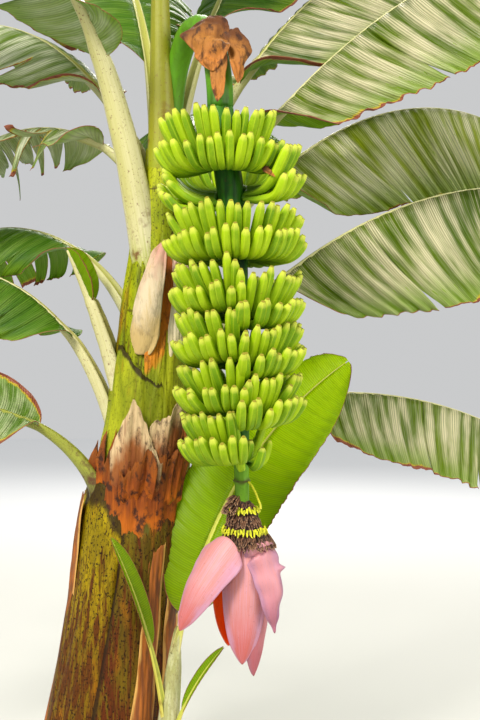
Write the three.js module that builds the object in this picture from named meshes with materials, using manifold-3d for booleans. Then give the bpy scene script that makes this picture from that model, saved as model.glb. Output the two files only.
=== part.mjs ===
// Banana plant with a hanging bunch, its male bud and a young side shoot.
// Millimetres, +Z up, cut flat at ground level (z = 0). The bunch hangs on the -Y side.
import * as THREE from "three";
import Module from "manifold-3d";

const wasm = await Module();
wasm.setup();

// Sizes of the false stem
const STEM_HEIGHT = 2020;
const STEM_LEAN = 212; // how far the crown stands to +X of the foot
const STEM_LEAN_POWER = 1.6;
const STEM_TOP_RADIUS = 58;
const STEM_TAPER = 82;
const STEM_FLARE = 40;
const STEM_FLARE_HEIGHT = 140;
const STEM_SIDES = 18;
const GAP = 0.3; // clearance at every seat

// Sizes of the bunch
const FRUIT_AXIS = [ // the fruit stalk inside the bunch: z, x, y, radius
  [2060, 394, -292, 37],
  [1950, 404, -297, 38],
  [1820, 424, -300, 38],
  [1600, 438, -300, 34],
  [1300, 447, -300, 27],
  [1000, 455, -300, 20],
  [935, 456, -300, 19],
];
const FINGER_WIDTH = 27;
const FINGER_TIP = 19;
const BEND_HALF = 10.7; // half the finger's depth at its bend, along Z and along the radius
const BEND_IN_UPPER = 80; // how far inside the tips each row bends upward
const BEND_IN_LOWER = 48;
const FRONT_CROWDING = 0.28; // fingers stand closer together in front than behind

const DEG = Math.PI / 180;
const V = (x, y, z) => new THREE.Vector3(x, y, z);
const mix = (a, b, t) => a + (b - a) * t;
const clamp = (x, lo, hi) => Math.min(hi, Math.max(lo, x));
const smooth = (x) => { const t = clamp(x, 0, 1); return t * t * (3 - 2 * t); };

// Axis and radius of the false stem, straight between the levels where its rings lie
const LEVELS = [0, 70, 180, 420, 800, 1200, 1650, STEM_HEIGHT];
const leanAt = (z) => STEM_LEAN * (1 - Math.pow(1 - z / STEM_HEIGHT, STEM_LEAN_POWER));
const radiusAt = (z) => STEM_TOP_RADIUS + STEM_TAPER * Math.pow(1 - z / STEM_HEIGHT, 0.9)
  + STEM_FLARE * Math.exp(-z / STEM_FLARE_HEIGHT);
function betweenLevels(f, z) {
  const h = clamp(z, 0, STEM_HEIGHT);
  let i = 0;
  while (i < LEVELS.length - 2 && h > LEVELS[i + 1]) i++;
  return mix(f(LEVELS[i]), f(LEVELS[i + 1]), (h - LEVELS[i]) / (LEVELS[i + 1] - LEVELS[i]));
}
const stemX = (z) => betweenLevels(leanAt, z);
const stemRadius = (z) => betweenLevels(radiusAt, z);

// A closed solid from rings of points. Each ring has its upper row first and its lower row back
// again, so an end is closed by strips between the two rows.
function loft(rings) {
  const m = rings[0].length;
  const pos = [];
  const tri = [];
  for (const ring of rings) for (const p of ring) pos.push(p.x, p.y, p.z);
  for (let i = 0; i + 1 < rings.length; i++) {
    for (let j = 0; j < m; j++) {
      const a = i * m + j, b = i * m + (j + 1) % m, c = a + m, d = b + m;
      tri.push(a, b, d, a, d, c);
    }
  }
  const cap = (base, flip) => {
    for (let j = 0; j < m / 2 - 1; j++) {
      const a = base + j, b = base + j + 1, c = base + m - 2 - j, d = base + m - 1 - j;
      if (flip) tri.push(a, b, c, a, c, d);
      else tri.push(a, c, b, a, d, c);
    }
  };
  cap(0, false);
  cap((rings.length - 1) * m, true);
  return solid(pos, tri);
}

function solid(pos, tri) {
  const make = (t) => new wasm.Manifold(new wasm.Mesh({
    numProp: 3,
    vertProperties: new Float32Array(pos),
    triVerts: new Uint32Array(t),
  }));
  let volume = 0;
  for (let i = 0; i < tri.length; i += 3) {
    const p = [0, 1, 2].map((k) => V(...pos.slice(3 * tri[i + k], 3 * tri[i + k] + 3)));
    volume += p[0].dot(p[1].clone().cross(p[2]));
  }
  if (volume < 0) {
    for (let i = 0; i < tri.length; i += 3) [tri[i], tri[i + 1]] = [tri[i + 1], tri[i]];
  }
  return make(tri);
}

const disc = (cx, cy, z, r, n, turn = 0) => Array.from({ length: n }, (_, i) =>
  V(cx + r * Math.cos(turn + 2 * Math.PI * i / n), cy + r * Math.sin(turn + 2 * Math.PI * i / n), z));

// The false stem, or the same shape grown by a clearance for cutting seats
function stemSolid(grow) {
  return loft(LEVELS.map((z) => {
    let level = z;
    if (grow && z === 0) level = -20;
    if (grow && z === STEM_HEIGHT) level = z + grow;
    return disc(stemX(z), 0, level, stemRadius(z) + grow, STEM_SIDES);
  }));
}
const stem = stemSolid(0);
const stemSeat = stemSolid(GAP);

// A leaf: its midrib leaves the stem at height z in direction az, rises at angle e0 and ends at e1
function leafFrame(L, s) {
  const steps = 60;
  const total = L.petiole + L.blade;
  const p = V(...L.base);
  const dirAt = (q) => {
    const e = (L.e0 + (L.e1 - L.e0) * Math.pow(q, L.bend)) * DEG;
    const a = (L.az + (L.swing ?? 0) * Math.pow(q, 1.5)) * DEG;
    return { e, a, t: V(Math.cos(e) * Math.cos(a), Math.cos(e) * Math.sin(a), Math.sin(e)) };
  };
  for (let i = 0; i < steps; i++) p.addScaledVector(dirAt((i + 0.5) / steps * s).t, total * s / steps);
  const { a, t } = dirAt(s);
  const b0 = V(-Math.sin(a), Math.cos(a), 0);
  const n0 = t.clone().cross(b0);
  const roll = ((L.roll ?? 0) + (L.twist ?? 0) * s) * DEG;
  const b = b0.clone().multiplyScalar(Math.cos(roll)).addScaledVector(n0, Math.sin(roll));
  const n = n0.clone().multiplyScalar(Math.cos(roll)).addScaledVector(b0, -Math.sin(roll));
  return { p, t, b, n };
}

function bladeWidth(L, q) {
  return L.width * Math.pow(1 - Math.pow(Math.abs(2 * Math.pow(clamp(q, 0, 1), 0.85) - 1), 2.4), 0.62);
}

// One cross-section: five points along the upper face and five along the lower face
function leafRing(L, s) {
  const { p, t, b, n } = leafFrame(L, s);
  const total = L.petiole + L.blade;
  const start = L.petiole / total;
  const q = (s - start) / (1 - start);
  const inBlade = smooth((q + 0.02) / 0.12);
  const stalk = mix(L.stalkWidth, L.stalkWidth * 0.5, clamp(s / start, 0, 1)) * (1 - 0.75 * clamp(q, 0, 1));
  const half = Math.max(stalk, bladeWidth(L, q), 9);
  const edge = mix(L.stalkWidth * 0.5, Math.max(total * 0.0102, 8), inBlade);
  const stalkDepth = L.stalkWidth * mix(1.0, 0.75, clamp(s / start, 0, 1));
  const depth = mix(stalkDepth, 10 + 12 * (1 - clamp(q, 0, 1)), inBlade);
  const place = (side, k, up) => {
    const fold = mix(38, side > 0 ? L.foldL : L.foldR, inBlade) * DEG;
    let curl = mix(0, side > 0 ? L.curlL : L.curlR, inBlade) * DEG;
    if (Math.abs(curl) < 1e-3) curl = 1e-3;
    const across = half * (Math.sin(fold + curl * k) - Math.sin(fold)) / curl;
    const rise = half * (Math.cos(fold) - Math.cos(fold + curl * k)) / curl;
    const turn = fold + curl * k;
    return p.clone()
      .addScaledVector(t, inBlade * 0.22 * half * k * k * (1 - smooth((q - 0.75) / 0.25)))
      .addScaledVector(b, side * (across - Math.sin(turn) * up * edge / 2))
      .addScaledVector(n, rise + Math.cos(turn) * up * edge / 2);
  };
  const top = p.clone().addScaledVector(n, edge * 0.3);
  const keel = p.clone().addScaledVector(n, -Math.max(depth, edge * 0.6));
  return [
    place(1, 1, 1), place(1, 0.5, 1), top, place(-1, 0.5, 1), place(-1, 1, 1),
    place(-1, 1, -1), place(-1, 0.5, -1), keel, place(1, 0.5, -1), place(1, 1, -1),
  ];
}

function leafSolid(L, from, to, parts) {
  const total = L.petiole + L.blade;
  const start = L.petiole / total;
  const marks = [0, start * 0.5, start].concat(parts.map((q) => start + (1 - start) * q));
  const inner = marks.filter((s) => s > from + 1e-6 && s < to - 1e-6);
  return loft([from, ...inner, to].map((s) => leafRing(L, s)));
}

const stemBase = (z, az, sink = 0.55) => [
  stemX(z) + stemRadius(z) * sink * Math.cos(az * DEG),
  stemRadius(z) * sink * Math.sin(az * DEG),
  z,
];

// name, height, direction, rise at the stem, rise at the tip, bend power, petiole, blade, half width,
// folds and curls of the two halves, petiole half width, where it is split along its length
const leafTable = [
  ["leaf_front", 1960, 264, 88, -30, 2.6, 600, 1350, 300, 8, 8, -50, -50, 34, 0.62],
  ["leaf_back_1", 1900, 111, 78, -45, 1.6, 440, 1400, 330, 5, 0, -60, -50, 32, 0.55],
  ["leaf_back_2", 1620, 80, 66, -52, 1.4, 400, 1400, 330, 0, 0, -60, -60, 32, 0.5],
  ["leaf_left_1", 1635, 213, 80, -45, 2.0, 640, 1450, 330, -12, -5, -55, -45, 44, 0.6],
  ["leaf_left_2", 1880, 146, 64, -45, 1.3, 380, 1450, 330, -25, 0, -50, -50, 32, 0.5],
  ["leaf_left_3", 1798, 166, 80, -84, 0.9, 400, 760, 230, -20, -15, -60, -60, 30, 0.48],
  ["leaf_left_4", 1400, 146, 66, -72, 1.0, 360, 1300, 310, -20, -10, -50, -50, 30, 0.48],
  ["leaf_left_6", 1010, 172, 78, -60, 1.5, 440, 950, 250, -40, -20, -40, -40, 28, 0.5],
  ["leaf_right_0", 1950, 52, 72, -35, 2.0, 500, 1400, 330, -5, -15, -50, -50, 26, 0.55],
  ["leaf_right_1", 1855, 24, 61, -25, 2.0, 440, 1400, 350, 0, -40, -50, -20, 28, 0.55],
  ["leaf_right_2", 1720, -8, 51, -30, 2.2, 420, 1500, 370, -5, -50, -45, -25, 30, 0.55],
  ["leaf_right_3", 1540, 26, 52, -40, 1.8, 440, 1400, 370, -10, -62, -45, -20, 30, 0.5],
  ["leaf_right_4", 1260, 4, 47, -42, 1.8, 420, 1450, 380, -15, -72, -40, -10, 30, 0.5],
  ["leaf_right_5", 1120, 16, 22, -44, 1.1, 420, 1250, 250, -10, -66, -40, -15, 26, 0.5],
];
const readLeaf = (r) => ({
  name: r[0], base: stemBase(r[1], r[2]), az: r[2], e0: r[3], e1: r[4], bend: r[5], petiole: r[6],
  blade: r[7], width: r[8], foldL: r[9], foldR: r[10], curlL: r[11], curlR: r[12], stalkWidth: r[13],
  split: r[14],
});
const BLADE_MARKS = [0.07, 0.2, 0.4, 0.6, 0.8, 0.94];

const group = new THREE.Group();
group.name = "banana_plant";
const LEAF_GREEN = 0x7f9440, DRY = 0xa8713f, FRUIT = 0x8cb81a, SKIN = 0x6f7a24, BUD = 0xd98e94;

function put(name, body, colour) {
  const mesh = body.getMesh();
  const geometry = new THREE.BufferGeometry();
  const n = mesh.numProp;
  const pos = [];
  for (const v of mesh.triVerts) pos.push(...mesh.vertProperties.slice(v * n, v * n + 3));
  geometry.setAttribute("position", new THREE.Float32BufferAttribute(pos, 3));
  geometry.computeVertexNormals();
  const m = new THREE.Mesh(geometry, new THREE.MeshStandardMaterial({ color: colour, roughness: 0.7 }));
  m.name = name;
  group.add(m);
  return body;
}

put("pseudostem", stem, SKIN);

// Fruit stalk: an arch out of the crown, then the straight stalk inside the bunch
function axisAt(z) {
  const rows = FRUIT_AXIS;
  let i = 0;
  while (i < rows.length - 2 && z < rows[i + 1][0]) i++;
  const t = (rows[i][0] - z) / (rows[i][0] - rows[i + 1][0]);
  const [x, y, r] = [1, 2, 3].map((k) => mix(rows[i][k], rows[i + 1][k], t));
  return { x, y, r };
}
put("fruit_stalk", loft(FRUIT_AXIS.map(([z, x, y, r]) => disc(x, y, z, r, 12))), FRUIT);
const archFrom = V(STEM_LEAN + 18, 8, STEM_HEIGHT + GAP);
const archTo = V(FRUIT_AXIS[0][1], FRUIT_AXIS[0][2], FRUIT_AXIS[0][0] + GAP);
const archRise = [archFrom.clone().add(V(16, 0, 460)), archTo.clone().add(V(0, 0, 340))];
const arch = new THREE.CubicBezierCurve3(archFrom, ...archRise, archTo);
function tube(curve, radiusAt, rings, sides, level = true) {
  const out = [];
  for (let i = 0; i <= rings; i++) {
    const u = i / rings;
    const c = curve.getPoint(u);
    const t = level && (i === 0 || i === rings) ? V(0, 0, i === 0 ? 1 : -1) : curve.getTangent(u);
    const side = V(0.78, -0.62, 0).normalize();
    const a = t.clone().cross(side).normalize();
    const b = a.clone().cross(t).normalize();
    out.push(Array.from({ length: sides }, (_, k) => {
      const w = 2 * Math.PI * k / sides;
      return c.clone().addScaledVector(a, radiusAt(u) * Math.cos(w)).addScaledVector(b, radiusAt(u) * Math.sin(w));
    }));
  }
  return loft(out);
}
put("fruit_stalk_arch", tube(arch, (u) => mix(34, 36, u), 9, 10), FRUIT);
const archSeat = tube(arch, (u) => mix(34, 36, u) + GAP, 9, 10);

for (const row of leafTable) {
  const L = readLeaf(row);
  const nick = GAP / (L.petiole + L.blade);
  const inner = leafSolid(L, 0, L.split, BLADE_MARKS).subtract(stemSeat).subtract(archSeat);
  put(`${L.name}_inner`, inner, LEAF_GREEN);
  put(`${L.name}_outer`, leafSolid(L, L.split + nick, 0.995, BLADE_MARKS), LEAF_GREEN);
}

// The cut-back petiole with a rounded scrap of blade, and the old petiole that leaves its sheath and folds over
const stub = {
  base: stemBase(1150, 192), az: 192, e0: 77, e1: 62, bend: 1.4, petiole: 330, blade: 250,
  width: 62, foldL: 30, foldR: 30, curlL: 25, curlR: 25, stalkWidth: 34, roll: -20,
};
put("stub_petiole", leafSolid(stub, 0, 0.99, [0.15, 0.4, 0.7, 0.93]).subtract(stemSeat), LEAF_GREEN);

// A sheath lying on the stem: a bent shell between two directions, its top edge cut to a profile
function shell({ az0, az1, z0, top, lift = 0, thick, cols = 5 }) {
  const rings = [];
  const lowest = Math.min(...Array.from({ length: cols + 1 }, (_, i) => top(i / cols)));
  let between = LEVELS.filter((z) => z > z0 + 10 && z < lowest - 20);
  if (!between.length) between = [mix(z0, lowest, 0.6)];
  for (let i = 0; i <= cols; i++) {
    const u = i / cols;
    const az = mix(az0, az1, u) * DEG;
    const z1 = top(u);
    const ring = [];
    const at = (z, out) => {
      const v = (z - z0) / (z1 - z0);
      const inside = (stemRadius(z) + GAP + 0.05) / Math.cos((az1 - az0) * DEG / cols / 2);
      const r = inside + lift * v * v + out;
      return V(stemX(z) + r * Math.cos(az), r * Math.sin(az), z);
    };
    const heights = [z0, ...between, z1];
    for (const z of heights) ring.push(at(z, thick));
    for (const z of heights.slice().reverse()) ring.push(at(z, 0));
    rings.push(ring);
  }
  return loft(rings);
}

const peak = (low, high, at, width) => (u) => mix(low, high, Math.max(0, 1 - Math.abs(u - at) / width));

const LEFT_SHEATH = { az0: 150, az1: 262, z0: 0, top: (u) => 960 - 60 * Math.abs(u - 0.4), thick: 17, cols: 6 };
const RIGHT_SHEATH = { az0: 266, az1: 372, z0: 0, top: (u) => 900 - 40 * u, thick: 11, cols: 6 };
// The same shell grown by the clearance and one column wider on each side, for cutting seats
function grown(S) {
  const step = (S.az1 - S.az0) / S.cols;
  const wide = S.cols + 2;
  return shell({
    ...S, az0: S.az0 - step, az1: S.az1 + step, cols: wide, z0: S.z0 - 15, thick: S.thick + GAP,
    top: (u) => S.top((u * wide - 1) / S.cols) + GAP,
  });
}
put("sheath_left", shell(LEFT_SHEATH), SKIN);
put("sheath_right", shell(RIGHT_SHEATH), SKIN);
const leftSeat = grown(LEFT_SHEATH), rightSeat = grown(RIGHT_SHEATH);
const drySheaths = {
  dry_sheath_low_1: { az0: 196, az1: 262, z0: 985, top: peak(1090, 1215, 0.72, 0.6), thick: 6, lift: 9 },
  dry_sheath_low_2: { az0: 264, az1: 330, z0: 925, top: peak(1080, 1250, 0.7, 0.6), thick: 6, lift: 12 },
  dry_sheath_high_1: { az0: 214, az1: 275, z0: 1385, top: peak(1440, 1700, 0.62, 0.7), thick: 6, lift: 16 },
  dry_sheath_high_2: { az0: 277, az1: 322, z0: 1340, top: (u) => mix(1560, 1690, u), thick: 5, lift: 5, cols: 4 },
};
for (const [name, S] of Object.entries(drySheaths)) put(name, shell(S), DRY);

// The old leaf that leaves the top of the left sheath, folds over and hangs to -X
const old = {
  base: [16, -52, 952], az: 186, e0: 72, e1: -34, bend: 0.7, petiole: 270, blade: 760, width: 190,
  foldL: -55, foldR: 30, curlL: -20, curlR: 20, stalkWidth: 30, roll: 0,
};
put("leaf_left_7", leafSolid(old, 0, 0.995, BLADE_MARKS).subtract(stemSeat).subtract(leftSeat), LEAF_GREEN);

// A ring of hands: a cushion round the fruit stalk with an upper and a lower row of fingers. Every
// finger leaves the cushion outward, bends and points up.
function hands({ az0, az1, z0, z1, count, reach, tipFront, tipBack, tipEnd, rise, lean, lowTip = 0.42 }) {
  const pos = [], tri = [];
  const add = (v) => { pos.push(v.x, v.y, v.z); return pos.length / 3 - 1; };
  const quad = (a, b, c, d) => tri.push(a, b, c, a, c, d);
  const half = 12, deep = 13;
  const columns = count * 2 + 1;
  const crowd = (a) => a * DEG + FRONT_CROWDING * Math.sin(a * DEG + Math.PI / 2);
  const azAt = (k) => {
    const goal = mix(crowd(az0), crowd(az1), k / columns);
    let lo = az0 - 60, hi = az1 + 60;
    for (let i = 0; i < 40; i++) {
      const half = (lo + hi) / 2;
      if (crowd(half) < goal) lo = half; else hi = half;
    }
    return lo * DEG;
  };
  const zAt = (k) => mix(z0, z1, k / columns) + rise * Math.sin(Math.PI * k / columns);
  // the widest a finger can be at this radius without touching the next one in its row
  const roomAt = (k, r) => {
    const pitch = Math.min(azAt(k + 2.5) - azAt(k + 0.5), azAt(k + 0.5) - azAt(k - 1.5));
    return 2 * Math.tan(pitch / 2) * r - 0.6;
  };
  const edge = [];
  for (let k = 0; k <= columns; k++) {
    const put5 = (dz, out) => {
      const z = zAt(k) + dz, c = axisAt(z), r = c.r + GAP + 0.3 + out;
      return add(V(c.x + r * Math.cos(azAt(k)), c.y + r * Math.sin(azAt(k)), z));
    };
    edge.push([put5(half, deep), put5(0, deep + 2), put5(-half, deep), put5(-half, 0), put5(half, 0)]);
  }
  for (let k = 0; k < columns; k++) {
    const e = edge[k], f = edge[k + 1];
    const mid = azAt(k + 0.5), z = zAt(k + 0.5);
    const back = (1 - Math.cos(mid + Math.PI / 2)) / 2;
    const tip = mix(tipFront, tipBack, back) * mix(1, tipEnd, Math.pow(k / columns, 2));
    const rad = V(Math.cos(mid), Math.sin(mid), 0), tan = V(-Math.sin(mid), Math.cos(mid), 0);
    const finger = (ids, upper) => {
      const r = reach - lean * (upper ? BEND_IN_UPPER : BEND_IN_LOWER);
      const bendZ = z + (upper ? 4 : -26);
      const c = axisAt(bendZ);
      const h = Math.min(FINGER_WIDTH, roomAt(k, r - BEND_HALF)) / 2;
      const from = ids;
      const bendAt = V(c.x, c.y, bendZ).addScaledVector(rad, r);
      const slant = V(0, 0, 1).sub(rad).multiplyScalar(BEND_HALF);
      const bend = [[1, -h], [1, h], [-1, h], [-1, -h]].map(([up, along]) =>
        add(bendAt.clone().addScaledVector(slant, up).addScaledVector(tan, along)));
      const tipAt = V(c.x, c.y, z + (upper ? tip : tip * lowTip)).addScaledVector(rad, reach - (upper ? 9 : 0));
      const g = FINGER_TIP / 2;
      const w = Math.min(FINGER_TIP, roomAt(k, reach - 9 - g)) / 2;
      const end = [[-g, -w], [-g, w], [g, w], [g, -w]].map(([out, along]) =>
        add(tipAt.clone().addScaledVector(rad, out).addScaledVector(tan, along)));
      for (const [p, q] of [[from, bend], [bend, end]]) {
        for (let i = 0; i < 4; i++) quad(p[i], p[(i + 1) % 4], q[(i + 1) % 4], q[i]);
      }
      quad(end[0], end[1], end[2], end[3]);
    };
    const upperCell = [e[0], f[0], f[1], e[1]], lowerCell = [e[1], f[1], f[2], e[2]];
    if (k % 2 === 1) finger(upperCell, true); else quad(...upperCell);
    if (k % 2 === 0 && k > 0 && k < columns - 1) finger(lowerCell, false); else quad(...lowerCell);
    quad(e[2], f[2], f[3], e[3]);
    quad(e[3], f[3], f[4], e[4]);
    quad(e[4], f[4], f[0], e[0]);
  }
  const a = edge[0], b = edge[columns];
  quad(a[0], a[1], a[3], a[4]); tri.push(a[1], a[2], a[3]);
  quad(b[4], b[3], b[1], b[0]); tri.push(b[3], b[2], b[1]);
  return solid(pos, tri);
}
// az0, az1, height at each end, upper fingers, reach, upper tip height in front and behind, tip factor
// at the end, extra height midway, how much the fingers lean outward
const handTable = [
  [-178, -26, 1892, 1892, 13, 170, 134, 134, 1, 0, 1],
  [-42, 204, 1802, 1776, 21, 206, 128, 118, 0.6, 48, 1],
  [-150, 186, 1648, 1650, 29, 200, 122, 90, 0.9, 0, 1],
  [-86, 264, 1455, 1511, 30, 190, 119, 112, 0.92, 0, 1],
  [-86, 264, 1318, 1373, 30, 187, 114, 110, 1, 0, 1],
  [-86, 264, 1182, 1236, 29, 183, 113, 110, 1, 0, 1],
  [60, 266, 1064, 1094, 16, 177, 114, 108, 1, 0, 1],
  [-76, -36, 1074, 1070, 2, 100, 52, 52, 1, 0, 0.4],
];
handTable.forEach(([az0, az1, z0, z1, count, reach, tipFront, tipBack, tipEnd, rise, lean], i) => {
  const ring = hands({ az0, az1, z0, z1, count, reach, tipFront, tipBack, tipEnd, rise, lean });
  put(`hands_${i + 1}`, ring, FRUIT);
});

// Withered flowers left above the bud
const remains = [ // z, x, radius
  [985, 458, 34], [966, 459, 58], [932, 462, 62], [908, 466, 50], [886, 469, 70], [862, 473, 74], [846, 475, 50],
];
const remainsSolid = (grow) => loft(remains.map(([z, x, r], i) =>
  disc(x, -300, z + (i === remains.length - 1 ? -grow : 0), r + grow, 12)));
const stalkSeat = loft([1000, 930].map((z) => {
  const c = axisAt(z);
  return disc(c.x, c.y, z, c.r + GAP, 12);
}));
put("flower_remains", remainsSolid(0).subtract(stalkSeat), DRY);
const remainsSeat = remainsSolid(GAP);

// The male bud: a pointed core and five bracts about it
const budRings = [[846 - GAP, 24], [800, 34], [730, 42], [660, 42], [590, 31], [530, 13], [512, 4]];
put("bud_core", loft(budRings.map(([z, r]) => disc(474 + (834 - z) * -0.03, -300, z, r, 10))), BUD);
// A bract or scale: a blade wrapped round its length, between two points
function spoon({ from, to, out, width, bulge, wrap, thick = 6, parts = 7 }) {
  const a = V(...from), b = V(...to);
  const n0 = V(...out).normalize();
  const rings = [];
  for (let i = 0; i <= parts; i++) {
    const s = i / parts;
    const axis = b.clone().sub(a).normalize();
    const n = n0.clone().addScaledVector(axis, -n0.dot(axis)).normalize();
    const side = axis.clone().cross(n);
    const c = a.clone().lerp(b, s).addScaledVector(n, bulge * 4 * s * (1 - s));
    const w = Math.max(3, width * Math.sqrt(Math.max(0, Math.sin(Math.PI * mix(0.18, 1, s)))));
    const ang = wrap * DEG / 2;
    const R = w / Math.sin(Math.min(ang, Math.PI / 2));
    const at = (k, up) => c.clone()
      .addScaledVector(side, (R + up) * Math.sin(ang * k))
      .addScaledVector(n, (R + up) * Math.cos(ang * k) - R);
    const ks = [-1, -0.5, 0, 0.5, 1];
    rings.push([...ks.map((k) => at(k, thick / 2)), ...ks.slice().reverse().map((k) => at(k, -thick / 2))]);
  }
  return loft(rings);
}
const bracts = {
  bud_bract_front: { from: [466, -350, 858], to: [456, -330, 505], out: [0, -1, 0], width: 60, bulge: 24, wrap: 124 },
  bud_bract_left: {
    from: [444, -376, 856], to: [290, -368, 616], out: [-0.6, -0.75, 0.3], width: 54, bulge: 26, wrap: 100,
  },
  bud_bract_right: {
    from: [530, -330, 856], to: [558, -350, 600], out: [0.75, -0.6, 0], width: 48, bulge: 26, wrap: 104,
  },
  bud_bract_low: {
    from: [510, -262, 858], to: [500, -282, 464], out: [0.75, 0.6, 0], width: 46, bulge: 14, wrap: 88,
  },
  bud_bract_back: {
    from: [426, -262, 858], to: [432, -280, 540], out: [-0.75, 0.66, 0], width: 46, bulge: 14, wrap: 88,
  },
};
for (const [name, b] of Object.entries(bracts)) put(name, spoon(b).subtract(remainsSeat), BUD);

// The dry flag leaf that hangs from the arch
put("dry_flag", spoon({
  from: [398, -262, 2290], to: [386, -376, 2062], out: [0, -0.9, 0.4], width: 74, bulge: 12, wrap: 70, thick: 6,
}).subtract(archSeat), DRY);

// The side shoot at the foot: its stem and three leaves
const shootAxis = [[0, 204, -136, 58], [120, 222, -147, 40], [300, 238, -138, 32], [500, 256, -118, 22]];
const shootRings = (grow) => shootAxis.map(([z, x, y, r], i) => {
  let level = z;
  if (grow && i === 0) level = -20;
  if (grow && i === shootAxis.length - 1) level = z + grow;
  return disc(x, y, level, r + grow, 10);
});
const shoot = loft(shootRings(0)).subtract(stemSeat).subtract(rightSeat);
const shootSeat = loft(shootRings(GAP));
put("shoot_stem", shoot, SKIN);
const shootLeaves = [
  {
    name: "shoot_leaf_1", base: [256, -118, 470], az: 10, e0: 76, e1: 38, bend: 1.0, petiole: 120, blade: 960,
    width: 160, roll: 72, foldL: 5, foldR: 5, curlL: -20, curlR: 15, stalkWidth: 15, swing: 14,
  },
  {
    name: "shoot_leaf_2", base: [232, -150, 210], az: 206, e0: 66, e1: 84, bend: 1.0, petiole: 90, blade: 470,
    width: 28, roll: -50, foldL: 20, foldR: 20, curlL: 10, curlR: 10, stalkWidth: 12,
  },
  {
    name: "shoot_leaf_3", base: [240, -158, 180], az: -12, e0: 40, e1: 62, bend: 1.0, petiole: 90, blade: 270,
    width: 22, roll: 60, foldL: 20, foldR: 20, curlL: 10, curlR: 10, stalkWidth: 11,
  },
];
for (const L of shootLeaves) {
  put(L.name, leafSolid(L, 0, 0.995, BLADE_MARKS).subtract(shootSeat), LEAF_GREEN);
}

export default group;
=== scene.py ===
# %% [markdown]
# A banana plant with its bunch and its bud.
# The CAD frame holds the plant's solids: a leaning false stem, a crown of long leaves, a hanging
# bunch and a side shoot. This script keeps their places and sizes, and gives each of them its finer
# shape and its finish. Lengths are in metres, Z is up, and the bunch hangs on the -Y side.

# %% Load the frame and keep its box
import math
from types import SimpleNamespace

import bpy
import numpy as np
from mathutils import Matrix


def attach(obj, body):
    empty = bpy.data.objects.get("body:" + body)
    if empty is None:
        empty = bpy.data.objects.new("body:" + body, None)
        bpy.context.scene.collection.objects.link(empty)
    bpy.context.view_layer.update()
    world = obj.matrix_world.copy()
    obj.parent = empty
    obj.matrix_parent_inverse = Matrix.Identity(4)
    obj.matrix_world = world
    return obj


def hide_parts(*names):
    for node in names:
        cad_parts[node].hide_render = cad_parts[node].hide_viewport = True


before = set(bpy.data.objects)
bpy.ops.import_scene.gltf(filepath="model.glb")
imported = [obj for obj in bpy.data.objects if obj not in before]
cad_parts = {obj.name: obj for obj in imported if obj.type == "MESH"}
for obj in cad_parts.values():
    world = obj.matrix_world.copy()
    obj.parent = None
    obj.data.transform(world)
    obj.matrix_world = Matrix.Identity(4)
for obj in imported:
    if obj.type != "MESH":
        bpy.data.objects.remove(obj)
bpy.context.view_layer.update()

# %% [markdown]
# The camera stands in front of the bunch, level, a little above the middle of the plant. A lens of
# 50 mm on a picture 36 mm high makes one metre at one metre's distance 1000 pixels of a picture that
# is 720 pixels high, so any pixel can be turned into a place by one division.

# %% Camera
CAMERA_PLACE = (0.45, -3.12, 1.35)
LENS_LENGTH, PICTURE_HEIGHT = 50, 36
lens = bpy.data.cameras.new("camera")
lens.lens = LENS_LENGTH
lens.sensor_fit = "VERTICAL"
lens.sensor_height = PICTURE_HEIGHT
camera = bpy.data.objects.new("camera", lens)
camera.location = CAMERA_PLACE
camera.rotation_euler = (math.radians(90), 0, 0)
bpy.context.collection.objects.link(camera)
bpy.context.scene.camera = camera
bpy.context.scene.view_settings.view_transform = "Standard"
print("camera at", CAMERA_PLACE)

# %% [markdown]
# A pale floor and a pale sky of the same tone keep the studio plain. Two wide area lights give soft
# shade: one high in front on the left, and one high behind, which also shines through the thin
# leaves as the sun does.

# %% Studio
LIGHT_TINT = (1.0, 0.97, 0.90)
SKY_TINT, SKY_STRENGTH = (0.95, 0.96, 0.97, 1), 0.62
FLOOR_HALF = 14.0
FLOOR_NEAR, FLOOR_FAR = (0.74, 0.74, 0.72), (0.955, 0.96, 0.965)


def soft_light(name, place, aim, width, watts):
    data = bpy.data.lights.new(name, "AREA")
    data.shape = "SQUARE"
    data.color = LIGHT_TINT
    data.size = width
    data.energy = watts
    lamp = bpy.data.objects.new(name, data)
    lamp.location = place
    way = np.array(aim) - np.array(place)
    lamp.rotation_euler = (
        math.atan2(math.hypot(way[0], way[1]), -way[2]),
        0,
        math.atan2(way[1], way[0]) - math.pi / 2,
    )
    bpy.context.collection.objects.link(lamp)


soft_light("key_light", (-2.4, -4.4, 5.6), (0.4, 0, 1.6), 1.8, 520)
soft_light("fill_light", (4.5, -3.0, 3.2), (0.4, 0, 1.4), 3.0, 170)
soft_light("back_light", (1.2, 4.6, 5.8), (0.5, 0, 1.6), 3.0, 520)

world = bpy.data.worlds.new("studio")
world.use_nodes = True
background = world.node_tree.nodes["Background"]
background.inputs["Color"].default_value = SKY_TINT
background.inputs["Strength"].default_value = SKY_STRENGTH
bpy.context.scene.world = world

floor_mesh = bpy.data.meshes.new("floor")
floor_corners = [(-1, -1), (1, -1), (1, 1), (-1, 1)]
floor_places = [(x * FLOOR_HALF, y * FLOOR_HALF, 0) for x, y in floor_corners]
floor_mesh.from_pydata(floor_places, [], [(0, 1, 2, 3)])
floor = bpy.data.objects.new("floor", floor_mesh)
bpy.context.collection.objects.link(floor)
print("studio ready")

# %% [markdown]
# A material is a small tree of nodes. The first helper lets what a node gives be added and
# multiplied like a number, so that a tree reads like a formula. The second makes a node and fills
# its inputs with numbers or with the values of other nodes.

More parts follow.
